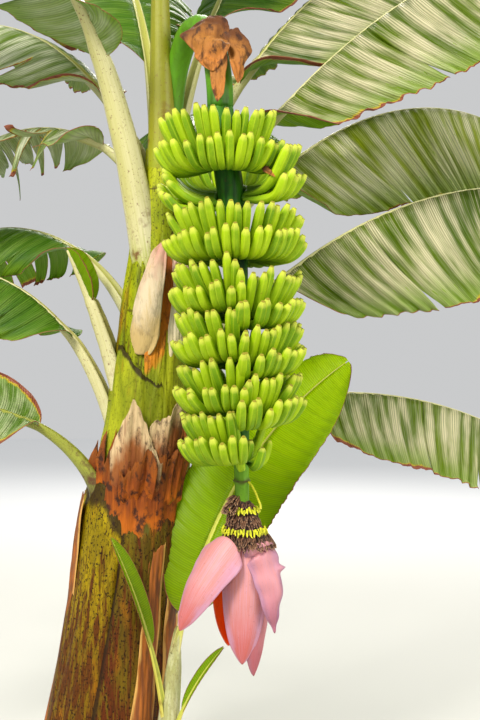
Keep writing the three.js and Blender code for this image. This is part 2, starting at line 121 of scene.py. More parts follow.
# %% Helpers for node trees
class Value:
    """What a node gives. Sums, differences and products of values are further nodes."""

    def __init__(self, tree, socket):
        self.tree = tree
        self.socket = socket

    def __add__(self, other):
        return self.tree.math("ADD", self, other)

    def __sub__(self, other):
        return self.tree.math("SUBTRACT", self, other)

    def __rsub__(self, other):
        return self.tree.math("SUBTRACT", other, self)

    def __mul__(self, other):
        return self.tree.math("MULTIPLY", self, other)

    def __abs__(self):
        return self.tree.math("ABSOLUTE", self)


class Tree:
    def __init__(self, tree):
        self.tree = tree

    def node(self, kind, inputs=None, **settings):
        made = self.tree.nodes.new(kind)
        for key, value in settings.items():
            setattr(made, key, value)
        for key, value in (inputs or {}).items():
            if isinstance(value, Value):
                self.tree.links.new(value.socket, made.inputs[key])
            else:
                made.inputs[key].default_value = value
        return made

    def add(self, kind, inputs=None, out=0, **settings):
        return Value(self, self.node(kind, inputs, **settings).outputs[out])

    def math(self, operation, a, b=0.0):
        return self.add("ShaderNodeMath", {0: a, 1: b}, operation=operation)

    def split(self, vector):
        made = self.node("ShaderNodeSeparateXYZ", {"Vector": vector})
        return [Value(self, socket) for socket in made.outputs]

    def ramp(self, value, low, high):
        inputs = {"Value": value, "From Min": low, "From Max": high}
        return self.add("ShaderNodeMapRange", inputs, interpolation_type="SMOOTHSTEP")

    def mix(self, share, a, b):
        a, b = (paint if isinstance(paint, Value) else colour(paint) for paint in (a, b))
        return self.add("ShaderNodeMix", {0: share, 6: a, 7: b}, 2, data_type="RGBA")


def colour(rgb):
    """A colour seen on a screen, as the linear colour that a shader takes."""
    linear = [c / 12.92 if c <= 0.04045 else ((c + 0.055) / 1.055) ** 2.4 for c in rgb]
    return (*linear, 1.0)


print("half grey on a screen is", round(colour((0.5, 0.5, 0.5))[0], 3), "for a shader")

# %% [markdown]
# A skin is a material in the making. It starts with one tone, and further paints are laid over it,
# each through a mask of noise, place or a value that the mesh carries.

# %% Helper for materials
class Skin(Tree):
    def __init__(self, name):
        self.material = bpy.data.materials.new(name)
        self.material.use_nodes = True
        super().__init__(self.material.node_tree)
        self.tree.nodes.clear()
        self.where = self.add("ShaderNodeTexCoord", None, "Object")

    def value(self, name):
        """A value that the mesh carries at its points."""
        return self.add("ShaderNodeAttribute", None, "Fac", attribute_name=name)

    def map(self):
        return self.add("ShaderNodeUVMap", uv_map="UVMap")

    def noise(self, scale, detail=3.0, rough=0.55, squeeze=None, place=None):
        """Smooth noise over the object. It is drawn out along the axes where squeeze is small."""
        place = place or self.where
        if squeeze:
            place = self.add("ShaderNodeMapping", {"Vector": place, "Scale": squeeze})
        inputs = {"Vector": place, "Scale": scale, "Detail": detail, "Roughness": rough}
        return self.add("ShaderNodeTexNoise", inputs)

    def lay(self, paint, mask, share=None):
        """Lays paint over the tone where the mask is 1, up to the given share."""
        self.tone = self.mix(mask if share is None else mask * share, self.tone, paint)

    def paint(self, tone, value, low, high, share=None):
        """Lays a tone where the value is past high, and less of it down to low."""
        self.lay(tone, self.ramp(value, low, high), share)

    def finish(self, roughness, bump=None, strength=0.3, distance=0.002, gloss=0.5, through=0, light=None):
        """through is the share of light that passes, and light its tint, else the tone itself."""
        inputs = {"Base Color": self.tone, "Roughness": roughness, "Specular IOR Level": gloss}
        if bump:
            relief = {"Height": bump, "Strength": strength, "Distance": distance}
            inputs["Normal"] = self.add("ShaderNodeBump", relief)
        surface = self.add("ShaderNodeBsdfPrincipled", inputs)
        if through:
            shine = self.add("ShaderNodeBsdfTranslucent", {"Color": light or self.tone})
            surface = self.add("ShaderNodeMixShader", {0: through, 1: surface, 2: shine})
        self.node("ShaderNodeOutputMaterial", {"Surface": surface})
        return self.material


skin = Skin("studio_floor")
distance = skin.add("ShaderNodeVectorMath", {"Vector": skin.where}, "Value", operation="LENGTH")
skin.tone = skin.mix(skin.ramp(distance, 2.5, 8.0), FLOOR_NEAR, FLOOR_FAR)
floor_mesh.materials.append(skin.finish(0.9))
print("materials start with", floor_mesh.materials[0].name)

# %% [markdown]
# Every surface here is worked out as arrays of points. A grid of points becomes a thin solid sheet:
# one layer of faces on top, one below, and a strip round the edge. Closed sheets have a clear
# outside, so top and bottom can take different materials.

# %% Helpers for meshes
def smooth(x):
    t = np.clip(x, 0, 1)
    return t * t * (3 - 2 * t)


def mix(a, b, t):
    return a + (b - a) * t


def unit(v):
    return v / np.maximum(np.linalg.norm(v, axis=-1, keepdims=True), 1e-12)


def waves(x, y, seed, octaves):
    """Smooth random hills over two coordinates, about -1 to 1."""
    rng = np.random.default_rng(seed)
    total = np.zeros(np.broadcast(x, y).shape)
    for octave in range(octaves):
        for _ in range(3):
            turn = rng.uniform(0, 2 * math.pi)
            pace = 2 ** octave * rng.uniform(0.7, 1.3)
            shift = rng.uniform(0, 2 * math.pi)
            along = math.cos(turn) * x + math.sin(turn) * y
            total += np.sin(pace * along + shift) / (2.2 * 1.7 ** octave)
    return total


class Bag:
    """Collects the parts of one mesh: points, faces, a material number for each face, and values."""

    def __init__(self):
        self.points, self.faces, self.slots, self.uv, self.values, self.rounded = [], [], [], [], [], []
        self.count = 0

    def put(self, points, faces, slots, uv=None, value=None, flat_last=False):
        """Adds points with their map place and value, and lists of faces of three or four corners."""
        points = np.asarray(points, float).reshape(-1, 3)
        self.points.append(points)
        for corners in faces:
            self.faces.extend((corners + self.count).tolist())
        total = sum(len(corners) for corners in faces)
        self.slots.append(np.broadcast_to(np.asarray(slots, np.int32), (total,)))
        rounded = np.ones(total, bool)
        if flat_last:
            rounded[total - len(faces[-1]):] = False
        self.rounded.append(rounded)
        self.uv.append(np.zeros((len(points), 2)) if uv is None else uv.reshape(-1, 2))
        self.values.append(np.zeros(len(points)) if value is None else value.reshape(-1))
        self.count += len(points)

    def make(self, name, materials, value_name="dry"):
        """The mesh object, at the origin, with its map and one named value on its points."""
        mesh = bpy.data.meshes.new(name)
        mesh.from_pydata(np.concatenate(self.points).tolist(), [], self.faces)
        mesh.polygons.foreach_set("material_index", np.concatenate(self.slots))
        mesh.polygons.foreach_set("use_smooth", np.concatenate(self.rounded))
        corners = np.empty(len(mesh.loops), np.int32)
        mesh.loops.foreach_get("vertex_index", corners)
        layer = mesh.uv_layers.new(name="UVMap")
        layer.data.foreach_set("uv", np.concatenate(self.uv)[corners].astype(np.float32).reshape(-1))
        attribute = mesh.attributes.new(value_name, "FLOAT", "POINT")
        attribute.data.foreach_set("value", np.concatenate(self.values).astype(np.float32))
        for material in materials:
            mesh.materials.append(material)
        mesh.update()
        piece = bpy.data.objects.new(name, mesh)
        bpy.context.collection.objects.link(piece)
        return piece


def grid_quads(rows, columns, closed=False):
    i, j = np.meshgrid(np.arange(rows - 1), np.arange(columns if closed else columns - 1), indexing="ij")
    a = i * columns + j
    b = i * columns + (j + 1) % columns
    return np.stack([a, b, b + columns, a + columns], -1).reshape(-1, 4)


def grid_normals(points):
    return unit(np.cross(np.gradient(points, axis=0), np.gradient(points, axis=1)))


def put_sheet(bag, points, thickness, up, uv=None, value=None, under=0):
    """A thin closed sheet over a grid of points. The top layer is on the side that `up` points to.

    What would reach below the ground is cut flat there. under is the material of the lower layer.
    """
    normals = grid_normals(points)
    if np.sum(normals * up) < 0:
        points, normals = points[:, ::-1], -normals[:, ::-1]
        uv, value = (None if kept is None else kept[:, ::-1] for kept in (uv, value))
    rows, columns = points.shape[:2]
    lift = normals * np.broadcast_to(np.asarray(thickness, float), (rows, columns))[..., None] / 2
    both = np.concatenate([(points + lift).reshape(-1, 3), (points - lift).reshape(-1, 3)])
    both[:, 2] = np.maximum(both[:, 2], 0)
    quads = grid_quads(rows, columns)
    size = rows * columns
    border = np.concatenate([
        np.arange(columns),
        np.arange(1, rows) * columns + columns - 1,
        (rows - 1) * columns + np.arange(columns - 2, -1, -1),
        np.arange(rows - 2, 0, -1) * columns,
    ])
    following = np.roll(border, -1)
    rim = np.stack([border, following, following + size, border + size], -1)
    slots = np.repeat([0, under, 0], [len(quads), len(quads), len(rim)])
    if uv is not None:
        uv = np.concatenate([uv.reshape(-1, 2)] * 2)
    if value is not None:
        value = np.concatenate([value.reshape(-1)] * 2)
    bag.put(both, [quads[:, ::-1], quads + size, rim], slots, uv, value, flat_last=True)


def fan_volume(points, corners):
    total = 0.0
    for k in range(1, corners.shape[1] - 1):
        a, b, c = (points[corners[:, i]] for i in (0, k, k + 1))
        total += np.einsum("ij,ij->", a, np.cross(b, c))
    return total


def put_tube(bag, rings, uv=None, value=None):
    """A closed tube through rings of points, with a fan of triangles on each end."""
    rows, columns = rings.shape[:2]
    points = np.concatenate([rings.reshape(-1, 3), rings[[0, -1]].mean(1)])
    middle = points.mean(0)
    quads = grid_quads(rows, columns, closed=True)
    turn = np.arange(columns)
    after = (turn + 1) % columns
    last = (rows - 1) * columns
    start = np.stack([np.full(columns, rows * columns), after, turn], -1)
    end = np.stack([np.full(columns, rows * columns + 1), last + turn, last + after], -1)
    faces = [quads, start, end]
    if sum(fan_volume(points - middle, corners) for corners in faces) < 0:
        faces = [corners[:, ::-1] for corners in faces]
    if uv is not None:
        uv = np.concatenate([uv.reshape(-1, 2), uv[[0, -1]].mean(1)])
    if value is not None:
        value = np.concatenate([value.reshape(-1), value[[0, -1]].mean(1)])
    bag.put(points, faces, 0, uv, value)


def circle(sides):
    return np.linspace(0, 2 * math.pi, sides, endpoint=False)[None]


def turned(x, y, r, z, turn):
    """Rings of points round an upright line."""
    return np.stack(np.broadcast_arrays(x + r * np.cos(turn), y + r * np.sin(turn), z), -1)


def finish_piece(piece, slot, *nodes):
    """Every piece rides on the one body and may stand for CAD nodes. slot is not used."""
    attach(piece, "root")
    if nodes:
        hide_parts(*nodes)
    piece.data.calc_loop_triangles()
    print(piece.name, len(piece.data.loop_triangles), "triangles")


def finish_tube(name, rings, material, value_name, slot, *nodes, uv=None, value=None):
    """A piece that is one closed tube."""
    bag = Bag()
    put_tube(bag, rings, uv, value)
    finish_piece(bag.make(name, [material], value_name), slot, *nodes)


print("a grid of 3 by 3 points has", len(grid_quads(3, 3)), "faces")

# %% [markdown]
# A banana leaf blade is smooth above and dull below. Thin side veins run from the midrib to the
# margin about every six millimetres, and the blade rises and falls between them. Where light would
# catch it, its pale tone is laid in long bands of painted sheen, brightest on one flank of each
# corrugation, and towards the margin a yellow green is painted as light shining through. The map of
# each blade holds the distance along the midrib in metres and the share of the way to the margin,
# and veins and the painted sheen bands are drawn from that map. The value `dry` is near 1 at the
# withered margins and along tears. Part of the light goes through the blade.

# %% Leaf blade materials
VEIN_PITCH = 0.0066
CORRUGATION_PITCH = 0.046
SWAYS = ((1.5, 7.0, 2.0), (0.9, 17.0, -1.0))
SHEEN_FLANK = 0.8
PAINTED_MARGIN_GLOW = (0.48, 0.62, 0.08)
DRY_YELLOW = (0.78, 0.68, 0.20)
DRY_BROWNS = (0.42, 0.20, 0.10), (0.74, 0.46, 0.36)
DRY_GLOW = (0.55, 0.30, 0.12)


def blade_material(name, tones, glow, roughness, through, sheen_share, base=None):
    """tones: dark, middle and pale, the pale laid as painted sheen. base, if given, is a darker tone painted
    as shade over the half nearer the stalk.
    """
    dark, middle, pale = tones
    skin = Skin(name)
    place = skin.map()
    along, across, _ = skin.split(place)
    vein_wave = skin.math("SINE", along * (2 * math.pi / VEIN_PITCH))
    vein = skin.ramp(vein_wave, -0.2, 1.0)
    phase = along * (2 * math.pi / CORRUGATION_PITCH)
    for reach, pace, turn in SWAYS:
        phase = phase + skin.math("SINE", along * pace + across * turn) * reach
    # painted sheen: the pale tone in long bands, brightest on one flank of each corrugation
    sheen_bands = skin.noise(1.0, 3.0, 0.55, (14, 1.1, 1), place) + skin.math("SINE", phase + SHEEN_FLANK) * 0.085
    fine_sheen_bands = skin.noise(1.0, 2.0, 0.6, (120, 1.3, 1), place)
    skin.tone = skin.mix(skin.ramp(skin.noise(3.2, 2.0), 0.35, 0.7), dark, middle)
    skin.paint(pale, sheen_bands, 0.38, 0.66, sheen_share)
    skin.paint(pale, fine_sheen_bands, 0.42, 0.75, 0.35)
    # painted light shining through: yellow green laid towards the margin
    skin.paint(PAINTED_MARGIN_GLOW, across + (sheen_bands - 0.5) * 0.5, 0.64, 0.98, 0.65)
    skin.lay(dark, vein, skin.ramp(across, 0.6, 0.0) * 0.40 + 0.34)
    # painted shade: a darker tone over the half of the blade nearer the stalk
    if base:
        skin.paint(base, along, 0.62, 0.38, 0.7)
    ragged = skin.value("dry") + (skin.noise(60) - 0.5) * 0.55
    withered = skin.ramp(ragged, 0.44, 0.56)
    skin.paint(DRY_YELLOW, ragged, 0.24, 0.42)
    skin.lay(skin.mix(skin.noise(24), *DRY_BROWNS), withered)
    shade = tuple(0.8 * c for c in glow)
    light = skin.mix(withered, skin.mix(vein, glow, shade), DRY_GLOW)
    return skin.finish(roughness, vein_wave * 0.5 + fine_sheen_bands, 0.55, 0.0018, 0.22, through, light)


print("side veins every", VEIN_PITCH * 1000, "mm")

# %% [markdown]
# Leaves of one plant differ: some are glossy with much painted sheen, some are dull or pale, those of
# the side shoot are young and yellow green. Each finish is one row of the same table, so they stay
# relatives. The finish lit is a brighter copy of sheen, with painted light, for a leaf that lies in the
# shade of the leaf above it.

# %% Leaf finishes
LIT_GREEN, LIT_CREAM, LIT_YOUNG = (0.66, 0.82, 0.06), (0.97, 0.95, 0.66), (0.84, 0.96, 0.04)
YOUNG_PAINTED_SHADE = (0.34, 0.47, 0.01)
# for the top and the underside: dark, middle and pale tone, roughness, light let through, share of the
# painted sheen bands
leaf_tones = {
    "sheen": (((0.25, 0.34, 0.02), (0.41, 0.49, 0.04), (0.93, 0.88, 0.73), 0.34, 0.26, 0.8),
              ((0.38, 0.52, 0.05), (0.50, 0.64, 0.09), (0.66, 0.74, 0.30), 0.55, 0.4, 0.3)),
    # lit: a brighter copy of sheen, painted light for a leaf that lies in shade
    "lit": (((0.42, 0.48, 0.04), (0.60, 0.65, 0.10), (1.0, 0.96, 0.85), 0.36, 0.45, 0.95),
            ((0.42, 0.56, 0.06), (0.56, 0.68, 0.12), (0.72, 0.78, 0.36), 0.55, 0.4, 0.3)),
    "pale": (((0.36, 0.46, 0.14), (0.58, 0.64, 0.34), (0.90, 0.90, 0.78), 0.38, 0.24, 0.85),
             ((0.60, 0.65, 0.42), (0.76, 0.78, 0.58), (0.95, 0.94, 0.84), 0.50, 0.35, 0.7)),
    "grey": (((0.26, 0.39, 0.08), (0.44, 0.55, 0.20), (0.80, 0.83, 0.64), 0.36, 0.24, 0.7),
             ((0.50, 0.58, 0.30), (0.66, 0.71, 0.46), (0.90, 0.90, 0.78), 0.50, 0.35, 0.6)),
    "deep": (((0.18, 0.33, 0.04), (0.29, 0.46, 0.06), (0.50, 0.61, 0.24), 0.44, 0.24, 0.45),
             ((0.36, 0.52, 0.10), (0.46, 0.62, 0.16), (0.66, 0.73, 0.42), 0.50, 0.35, 0.4)),
    "young": (((0.68, 0.82, 0.01), (0.78, 0.90, 0.015), (0.86, 0.94, 0.07), 0.35, 0.40, 0.25),
              ((0.62, 0.77, 0.01), (0.72, 0.85, 0.015), (0.80, 0.90, 0.07), 0.5, 0.40, 0.25)),
}
glows = {"leaf_lit_top": LIT_CREAM, "leaf_young_top": LIT_YOUNG, "leaf_young_under": LIT_YOUNG}
leaf_materials = {}
for finish, sides in leaf_tones.items():
    leaf_materials[finish] = []
    for side, (*tones, roughness, through, sheen_share) in zip(("top", "under"), sides):
        name = f"leaf_{finish}_{side}"
        glow = glows.get(name, LIT_GREEN)
        base = YOUNG_PAINTED_SHADE if finish == "young" else None
        made = blade_material(name, tones, glow, roughness, through, sheen_share, base)
        leaf_materials[finish].append(made)
print("leaf finishes:", ", ".join(leaf_materials))

# %% [markdown]
# The false stem of a banana is a tight roll of leaf sheaths. It leans, tapers and flares at the
# foot. These are the measures of the solids, so that all finer shapes lie on the same line.

# %% Line of the stem
STEM_HEIGHT, STEM_LEAN, LEAN_POWER = 2.02, 0.212, 1.6
TOP_RADIUS, TAPER, FLARE, FLARE_HEIGHT = 0.058, 0.082, 0.040, 0.140
STALK_DEPTH = 0.55


def stem_x(z):
    return STEM_LEAN * (1 - (1 - np.clip(z / STEM_HEIGHT, 0, 1)) ** LEAN_POWER)


def stem_radius(z):
    left = 1 - np.clip(z / STEM_HEIGHT, 0, 1)
    return TOP_RADIUS + TAPER * left ** 0.9 + FLARE * np.exp(-z / FLARE_HEIGHT)


def stem_base(z, az):
    """Where a leaf stalk starts, inside the stem."""
    turn = math.radians(az)
    r = float(stem_radius(z)) * STALK_DEPTH
    return np.array([float(stem_x(z)) + r * math.cos(turn), r * math.sin(turn), z])


print("stem radius at the foot and the top", stem_radius(0.0), stem_radius(STEM_HEIGHT))

# %% [markdown]
# Every leaf follows one rule: its midrib leaves the stem in some direction, rises at one angle and
# ends at another, and the two halves of its blade fold and curl from the midrib. The table holds
# height and direction on the stem, the two angles, how late the midrib bends, the lengths of stalk
# and blade, the half width, fold and curl of the left and right half, and the stalk's half width.

# %% Leaf rule
MIDRIB_STEPS = 800


def leaf(name, base, az, rise0, rise1, bend, petiole, blade, width, folds, curls, stalk, roll=0, swing=0):
    made = SimpleNamespace(
        name=name, base=np.array(base, float), az=az, rise0=rise0, rise1=rise1, bend=bend, swing=swing,
        petiole=petiole / 1000, blade=blade / 1000, width=width / 1000, folds=folds, curls=curls,
        stalk=stalk / 1000)
    made.total = made.petiole + made.blade
    made.start = made.petiole / made.total
    s = np.linspace(0, 1, MIDRIB_STEPS + 1)
    heading, _ = leaf_heading(made, (s[1:] + s[:-1]) / 2)
    steps = np.cumsum(heading, 0) * made.total / MIDRIB_STEPS
    place = made.base + np.concatenate([np.zeros((1, 3)), steps])
    along, way = leaf_heading(made, s)
    left = np.stack([-np.sin(way), np.cos(way), 0 * way], -1)
    above = np.cross(along, left)
    c, d = math.cos(math.radians(roll)), math.sin(math.radians(roll))
    made.line = (s, place, along, left * c + above * d, above * c - left * d)
    return made


def leaf_heading(made, s):
    rise = np.radians(made.rise0 + (made.rise1 - made.rise0) * s ** made.bend)
    way = np.radians(made.az + made.swing * s ** 1.5)
    return np.stack([np.cos(rise) * np.cos(way), np.cos(rise) * np.sin(way), np.sin(rise)], -1), way


def on_midrib(made, s):
    known, *tables = made.line
    return [np.stack([np.interp(s, known, table[:, i]) for i in range(3)], -1) for table in tables]


def blade_width(made, q):
    swell = np.abs(2 * np.clip(q, 0, 1) ** 0.85 - 1) ** 2.4
    return made.width * np.clip(1 - swell, 0, 1) ** 0.62


def stalk_width(made, s):
    q = np.clip((s - made.start) / (1 - made.start), 0, 1)
    return made.stalk * mix(1, 0.5, np.clip(s / made.start, 0, 1)) * (1 - 0.75 * q)


print("each midrib is followed in", MIDRIB_STEPS, "steps")

# %% [markdown]
# The crown has fourteen leaves that grow from the stem. Then come the old leaf on the left, the cut
# stalk with a scrap of blade, and the three leaves of the side shoot.

# %% Leaves
CUT_STALK_AT = (1.150, 192)
crown_table = {
    "leaf_front": (1960, 264, 88, -30, 2.6, 600, 1350, 300, (8, 8), (-50, -50), 34),
    "leaf_back_1": (1900, 111, 78, -45, 1.6, 440, 1400, 330, (5, 0), (-60, -50), 32),
    "leaf_back_2": (1620, 80, 66, -52, 1.4, 400, 1400, 330, (0, 0), (-60, -60), 32),
    "leaf_left_1": (1635, 213, 80, -45, 2.0, 640, 1450, 330, (-12, -5), (-55, -45), 44),
    "leaf_left_2": (1880, 146, 64, -45, 1.3, 380, 1450, 330, (-25, 0), (-50, -50), 32),
    "leaf_left_3": (1798, 166, 80, -84, 0.9, 280, 880, 230, (-20, -15), (-60, -60), 30),
    "leaf_left_4": (1400, 146, 66, -72, 1.0, 360, 1300, 310, (-20, -10), (-50, -50), 30),
    "leaf_left_6": (1010, 172, 78, -60, 1.5, 440, 950, 250, (-40, -20), (-40, -40), 28),
    "leaf_right_0": (1950, 52, 72, -35, 2.0, 500, 1400, 330, (-5, -15), (-50, -50), 26),
    "leaf_right_1": (1855, 24, 61, -25, 2.0, 440, 1400, 350, (0, -40), (-50, -20), 28),
    "leaf_right_2": (1720, -8, 51, -30, 2.2, 420, 1500, 370, (-5, -50), (-45, -25), 30),
    "leaf_right_3": (1540, 26, 52, -40, 1.8, 440, 1400, 370, (-10, -62), (-45, -20), 30),
    "leaf_right_4": (1260, 4, 47, -42, 1.8, 420, 1450, 380, (-15, -72), (-40, -10), 30),
    "leaf_right_5": (1120, 16, 22, -44, 1.1, 420, 1250, 250, (-10, -66), (-40, -15), 26),
}
crown = [leaf(name, stem_base(height / 1000, az), az, *row)
         for name, (height, az, *row) in crown_table.items()]
leaves = {made.name: made for made in crown + [
    leaf("leaf_left_7", (0.016, -0.052, 0.952), 186, 72, -34, 0.7, 270, 760, 190, (-55, 30), (-20, 20), 30),
    leaf("stub_petiole", stem_base(*CUT_STALK_AT), 192, 77, 62, 1.4, 395, 185, 62, (30, 30), (25, 25), 34,
         -20),
    leaf("shoot_leaf_1", (0.256, -0.118, 0.470), 10, 78, 30, 1.3, 120, 960, 160, (5, 5), (-20, 15), 15,
         72, 14),
    leaf("shoot_leaf_2", (0.232, -0.150, 0.210), 206, 86, 64, 0.9, 300, 355, 36, (24, 24), (14, 14), 13, -58),
    leaf("shoot_leaf_3", (0.240, -0.158, 0.180), -12, 80, 48, 0.9, 140, 235, 20, (24, 24), (14, 14), 11, 50),
]}
print(len(leaves), "leaves, the longest", round(max(made.total for made in leaves.values()), 2), "m")

# %% [markdown]
# The blade of a banana leaf is soft, and wind tears it along the side veins into strips. Each half
# of a blade is made strip by strip. A tear has a place along the blade and a share of the width at
# which it stops. Beyond that share the strip droops by its own angle and its edges draw back. The
# angle of the surface is summed from the midrib outward, so the blade keeps its true width while it
# bends. Broad corrugations run along the veins, and the margin waves and curls where it has dried.

# %% Blade rule
ACROSS = np.concatenate([np.linspace(0, 0.88, 10), [0.925, 0.955, 0.980, 1.0]])
ROW_STEP = 0.0062
BLADE_THICKNESS = 0.0014
BLADE_END = 0.995
NO_TEAR = 0.999
FIRST_TEAR, LAST_TEAR = 0.08, 0.93
ANGLE_AT_RIB = 38
MARGIN_CURL, DRY_CURL = 35, 2500
FINE_RIDGE = 0.0018


def put_blade_half(bag, made, side, tears, seed, wave, ridge, edge_dry, slack):
    """tears: (share along the blade, share across where it stops, gap at the margin in metres)."""
    rng = np.random.default_rng(seed)
    fold, curl = (pair[0 if side > 0 else 1] for pair in (made.folds, made.curls))
    cuts = [(0.0, 1.0, 0.0), *sorted(tears), (BLADE_END, 1.0, 0.0)]
    for (q0, stop0, gap0), (q1, stop1, gap1) in zip(cuts, cuts[1:]):
        # the strip's rows, which draw back from its tears
        rows = max(3, round((q1 - q0) * made.blade / ROW_STEP) + 1)
        r = np.linspace(0, 1, rows)[:, None]
        stop = min(stop0, stop1)
        narrow = (q1 - q0) * made.blade * 0.35
        apart = [min(gap, narrow) * smooth((ACROSS - end) / max(1 - end, 0.02))
                 for gap, end in ((gap0, stop0), (gap1, stop1))]
        u = mix(q0 * made.blade + apart[0], q1 * made.blade - apart[1], r)
        q = u / made.blade
        place, along, left, above = on_midrib(made, made.start + (1 - made.start) * q)

        def line_waves(pace, number, octaves=2):
            return waves(u * pace, 0 * u, seed + number, octaves)

        # its width, from the flank of the midrib to a ragged margin
        in_blade = smooth((q + 0.02) / 0.12)
        root = 0.8 * stalk_width(made, made.start + (1 - made.start) * q)
        ragged = line_waves(26, 1, 3) * 0.010 - np.abs(line_waves(90, 2)) * 0.008
        half = np.maximum(blade_width(made, q) * (1 + ragged), root + 0.002)
        k = root / half + (1 - root / half) * ACROSS
        withered = smooth(0.45 + 1.6 * line_waves(6, 8, 3))
        # its slope from the midrib outward, summed to a curve
        hang = rng.uniform(-1, 1) * slack * (1 - stop) + rng.normal(0, 3)
        turn = mix(ANGLE_AT_RIB, fold, in_blade) + mix(0, curl, in_blade) * k
        turn = turn + hang * smooth((k - stop) / max(1 - stop, 0.15)) * (stop < NO_TEAR)
        turn = turn + 7 * waves(u * 5, k * 1.5, seed + 3, 2) * k
        rolled = (MARGIN_CURL * line_waves(7, 4) + DRY_CURL * edge_dry * withered) * in_blade
        turn = np.radians(turn + rolled * smooth((k - 0.92) / 0.06))
        middle = (turn[:, 1:] + turn[:, :-1]) / 2
        step = np.diff(k, axis=1) * half[:, 1:]
        start = np.zeros((rows, 1))
        across = root + np.concatenate([start, np.cumsum(np.cos(middle) * step, 1)], 1)
        rise = 0.15 * root + np.concatenate([start, np.cumsum(np.sin(middle) * step, 1)], 1)
        forward = in_blade * 0.22 * half * k * k * (1 - smooth((q - 0.75) / 0.25))
        # the corrugations
        phase = 2 * math.pi * u / CORRUGATION_PITCH
        for reach, pace, turn_by in SWAYS:
            phase = phase + reach * np.sin(pace * u + turn_by * k)
        bump = ridge * np.sin(phase) * smooth(k / 0.25) * (0.75 + 0.25 * waves(u * 9, k * 2, seed + 6, 2))
        bump = bump + FINE_RIDGE * np.sin(2.3 * phase + 1) * smooth(k / 0.2)
        bump = (bump + wave * line_waves(20, 7) * k ** 3) * in_blade * np.clip(half / 0.12, 0, 1)
        points = (place + along * forward[..., None]
                  + left * (side * (across - np.sin(turn) * bump))[..., None]
                  + above * (rise + np.cos(turn) * bump)[..., None])
        # how dry it is: at the margin, along tears and at the tip
        dry = np.clip(1 - half * (1 - k) / np.maximum(edge_dry * (0.20 + 1.60 * withered), 0.002), 0, 1)
        for end, near in ((stop0, u - u[:1]), (stop1, u[-1:] - u)):
            if end < NO_TEAR:
                along_tear = np.clip(0.75 - near / 0.006, 0, 1) * (k > end - 0.02) * withered
                dry = np.maximum(dry, along_tear)
        dry = np.maximum(dry, smooth((q - 0.94) / 0.06) * smooth(k / 0.4) * min(1, edge_dry / 0.012))
        put_sheet(bag, points, BLADE_THICKNESS, above, np.stack([u, k], -1), dry, 1)


def some_tears(seed, count, depth, gap):
    rng = np.random.default_rng(seed)
    shifts = rng.uniform(-0.35, 0.35, count) * (LAST_TEAR - FIRST_TEAR) / (count + 1)
    places = np.linspace(FIRST_TEAR, LAST_TEAR, count + 2)[1:-1] + shifts
    return [(q, rng.uniform(*depth), rng.uniform(*gap)) for q in places]


print("a blade half has", len(ACROSS), "points across and a row every", ROW_STEP * 1000, "mm")

# %% [markdown]
# Wind has torn the old leaves on the left most, and those on the right are nearly whole. The table
# gives each leaf its finish and its tears, and one loop makes all the blades.

# %% Leaf blades
# finish, number of tears in each half, share across where they stop, gap, corrugation, dry edge
blade_looks = {
    "leaf_front": ("deep", 5, 4, (0.5, 0.85), (0.004, 0.015), 0.0045, 0.008),
    "leaf_back_1": ("deep", 7, 6, (0.3, 0.8), (0.004, 0.02), 0.0045, 0.010),
    "leaf_back_2": ("deep", 8, 7, (0.2, 0.8), (0.005, 0.03), 0.0045, 0.012),
    "leaf_left_1": ("grey", 6, 7, (0.35, 0.8), (0.005, 0.03), 0.0045, 0.012),
    "leaf_left_2": ("pale", 9, 7, (0.15, 0.7), (0.005, 0.04), 0.0055, 0.013),
    "leaf_left_3": ("pale", 13, 12, (0.05, 0.4), (0.006, 0.03), 0.0085, 0.018),
    "leaf_left_4": ("deep", 8, 8, (0.2, 0.7), (0.005, 0.03), 0.0045, 0.014),
    "leaf_left_6": ("deep", 6, 6, (0.2, 0.7), (0.005, 0.03), 0.0045, 0.016),
    "leaf_right_0": ("deep", 5, 5, (0.4, 0.85), (0.004, 0.015), 0.0045, 0.010),
    "leaf_right_1": ("sheen", 4, 2, (0.55, 0.85), (0.004, 0.012), 0.0080, 0.022),
    "leaf_right_2": ("sheen", 5, 2, (0.55, 0.85), (0.004, 0.012), 0.0085, 0.024),
    # this leaf lies in the shade of the one above it and takes the brighter finish lit, with painted light
    "leaf_right_3": ("lit", 5, 2, (0.55, 0.85), (0.004, 0.012), 0.0085, 0.018),
    "leaf_right_4": ("sheen", 5, 2, (0.55, 0.85), (0.004, 0.012), 0.0085, 0.022),
    "leaf_right_5": ("sheen", 5, 2, (0.55, 0.85), (0.004, 0.012), 0.0075, 0.020),
    "leaf_left_7": ("grey", 3, 4, (0.4, 0.8), (0.004, 0.02), 0.0040, 0.020),
    "stub_petiole": ("young", 0, 0, (0.5, 0.8), (0.004, 0.01), 0.0015, 0.004),
    "shoot_leaf_1": ("young", 0, 0, (0.7, 0.8), (0.003, 0.006), 0.0030, 0.003),
    "shoot_leaf_2": ("young", 0, 0, (0.7, 0.8), (0.003, 0.006), 0.0, 0.002),
    "shoot_leaf_3": ("young", 0, 0, (0.7, 0.8), (0.003, 0.006), 0.0, 0.002),
}
slacks = {"leaf_left_2": 50, "leaf_left_3": 85}
for number, (name, look) in enumerate(blade_looks.items()):
    finish, left_tears, right_tears, depth, gap, ridge, edge_dry = look
    made = leaves[name]
    wave = min(0.014, made.width * 0.05)
    bag = Bag()
    for side, count in ((1, left_tears), (-1, right_tears)):
        seed = 100 * number + 7 * (side + 1) + 3
        tears = some_tears(seed, count, depth, gap)
        put_blade_half(bag, made, side, tears, seed, wave, ridge, edge_dry, slacks.get(name, 30))
    nodes = [name + "_inner", name + "_outer"] if name in crown_table else [name]
    slot = "old_leaf" if name == "leaf_left_7" else "leaf"
    finish_piece(bag.make(name + "_blade", leaf_materials[finish]), slot, *nodes)

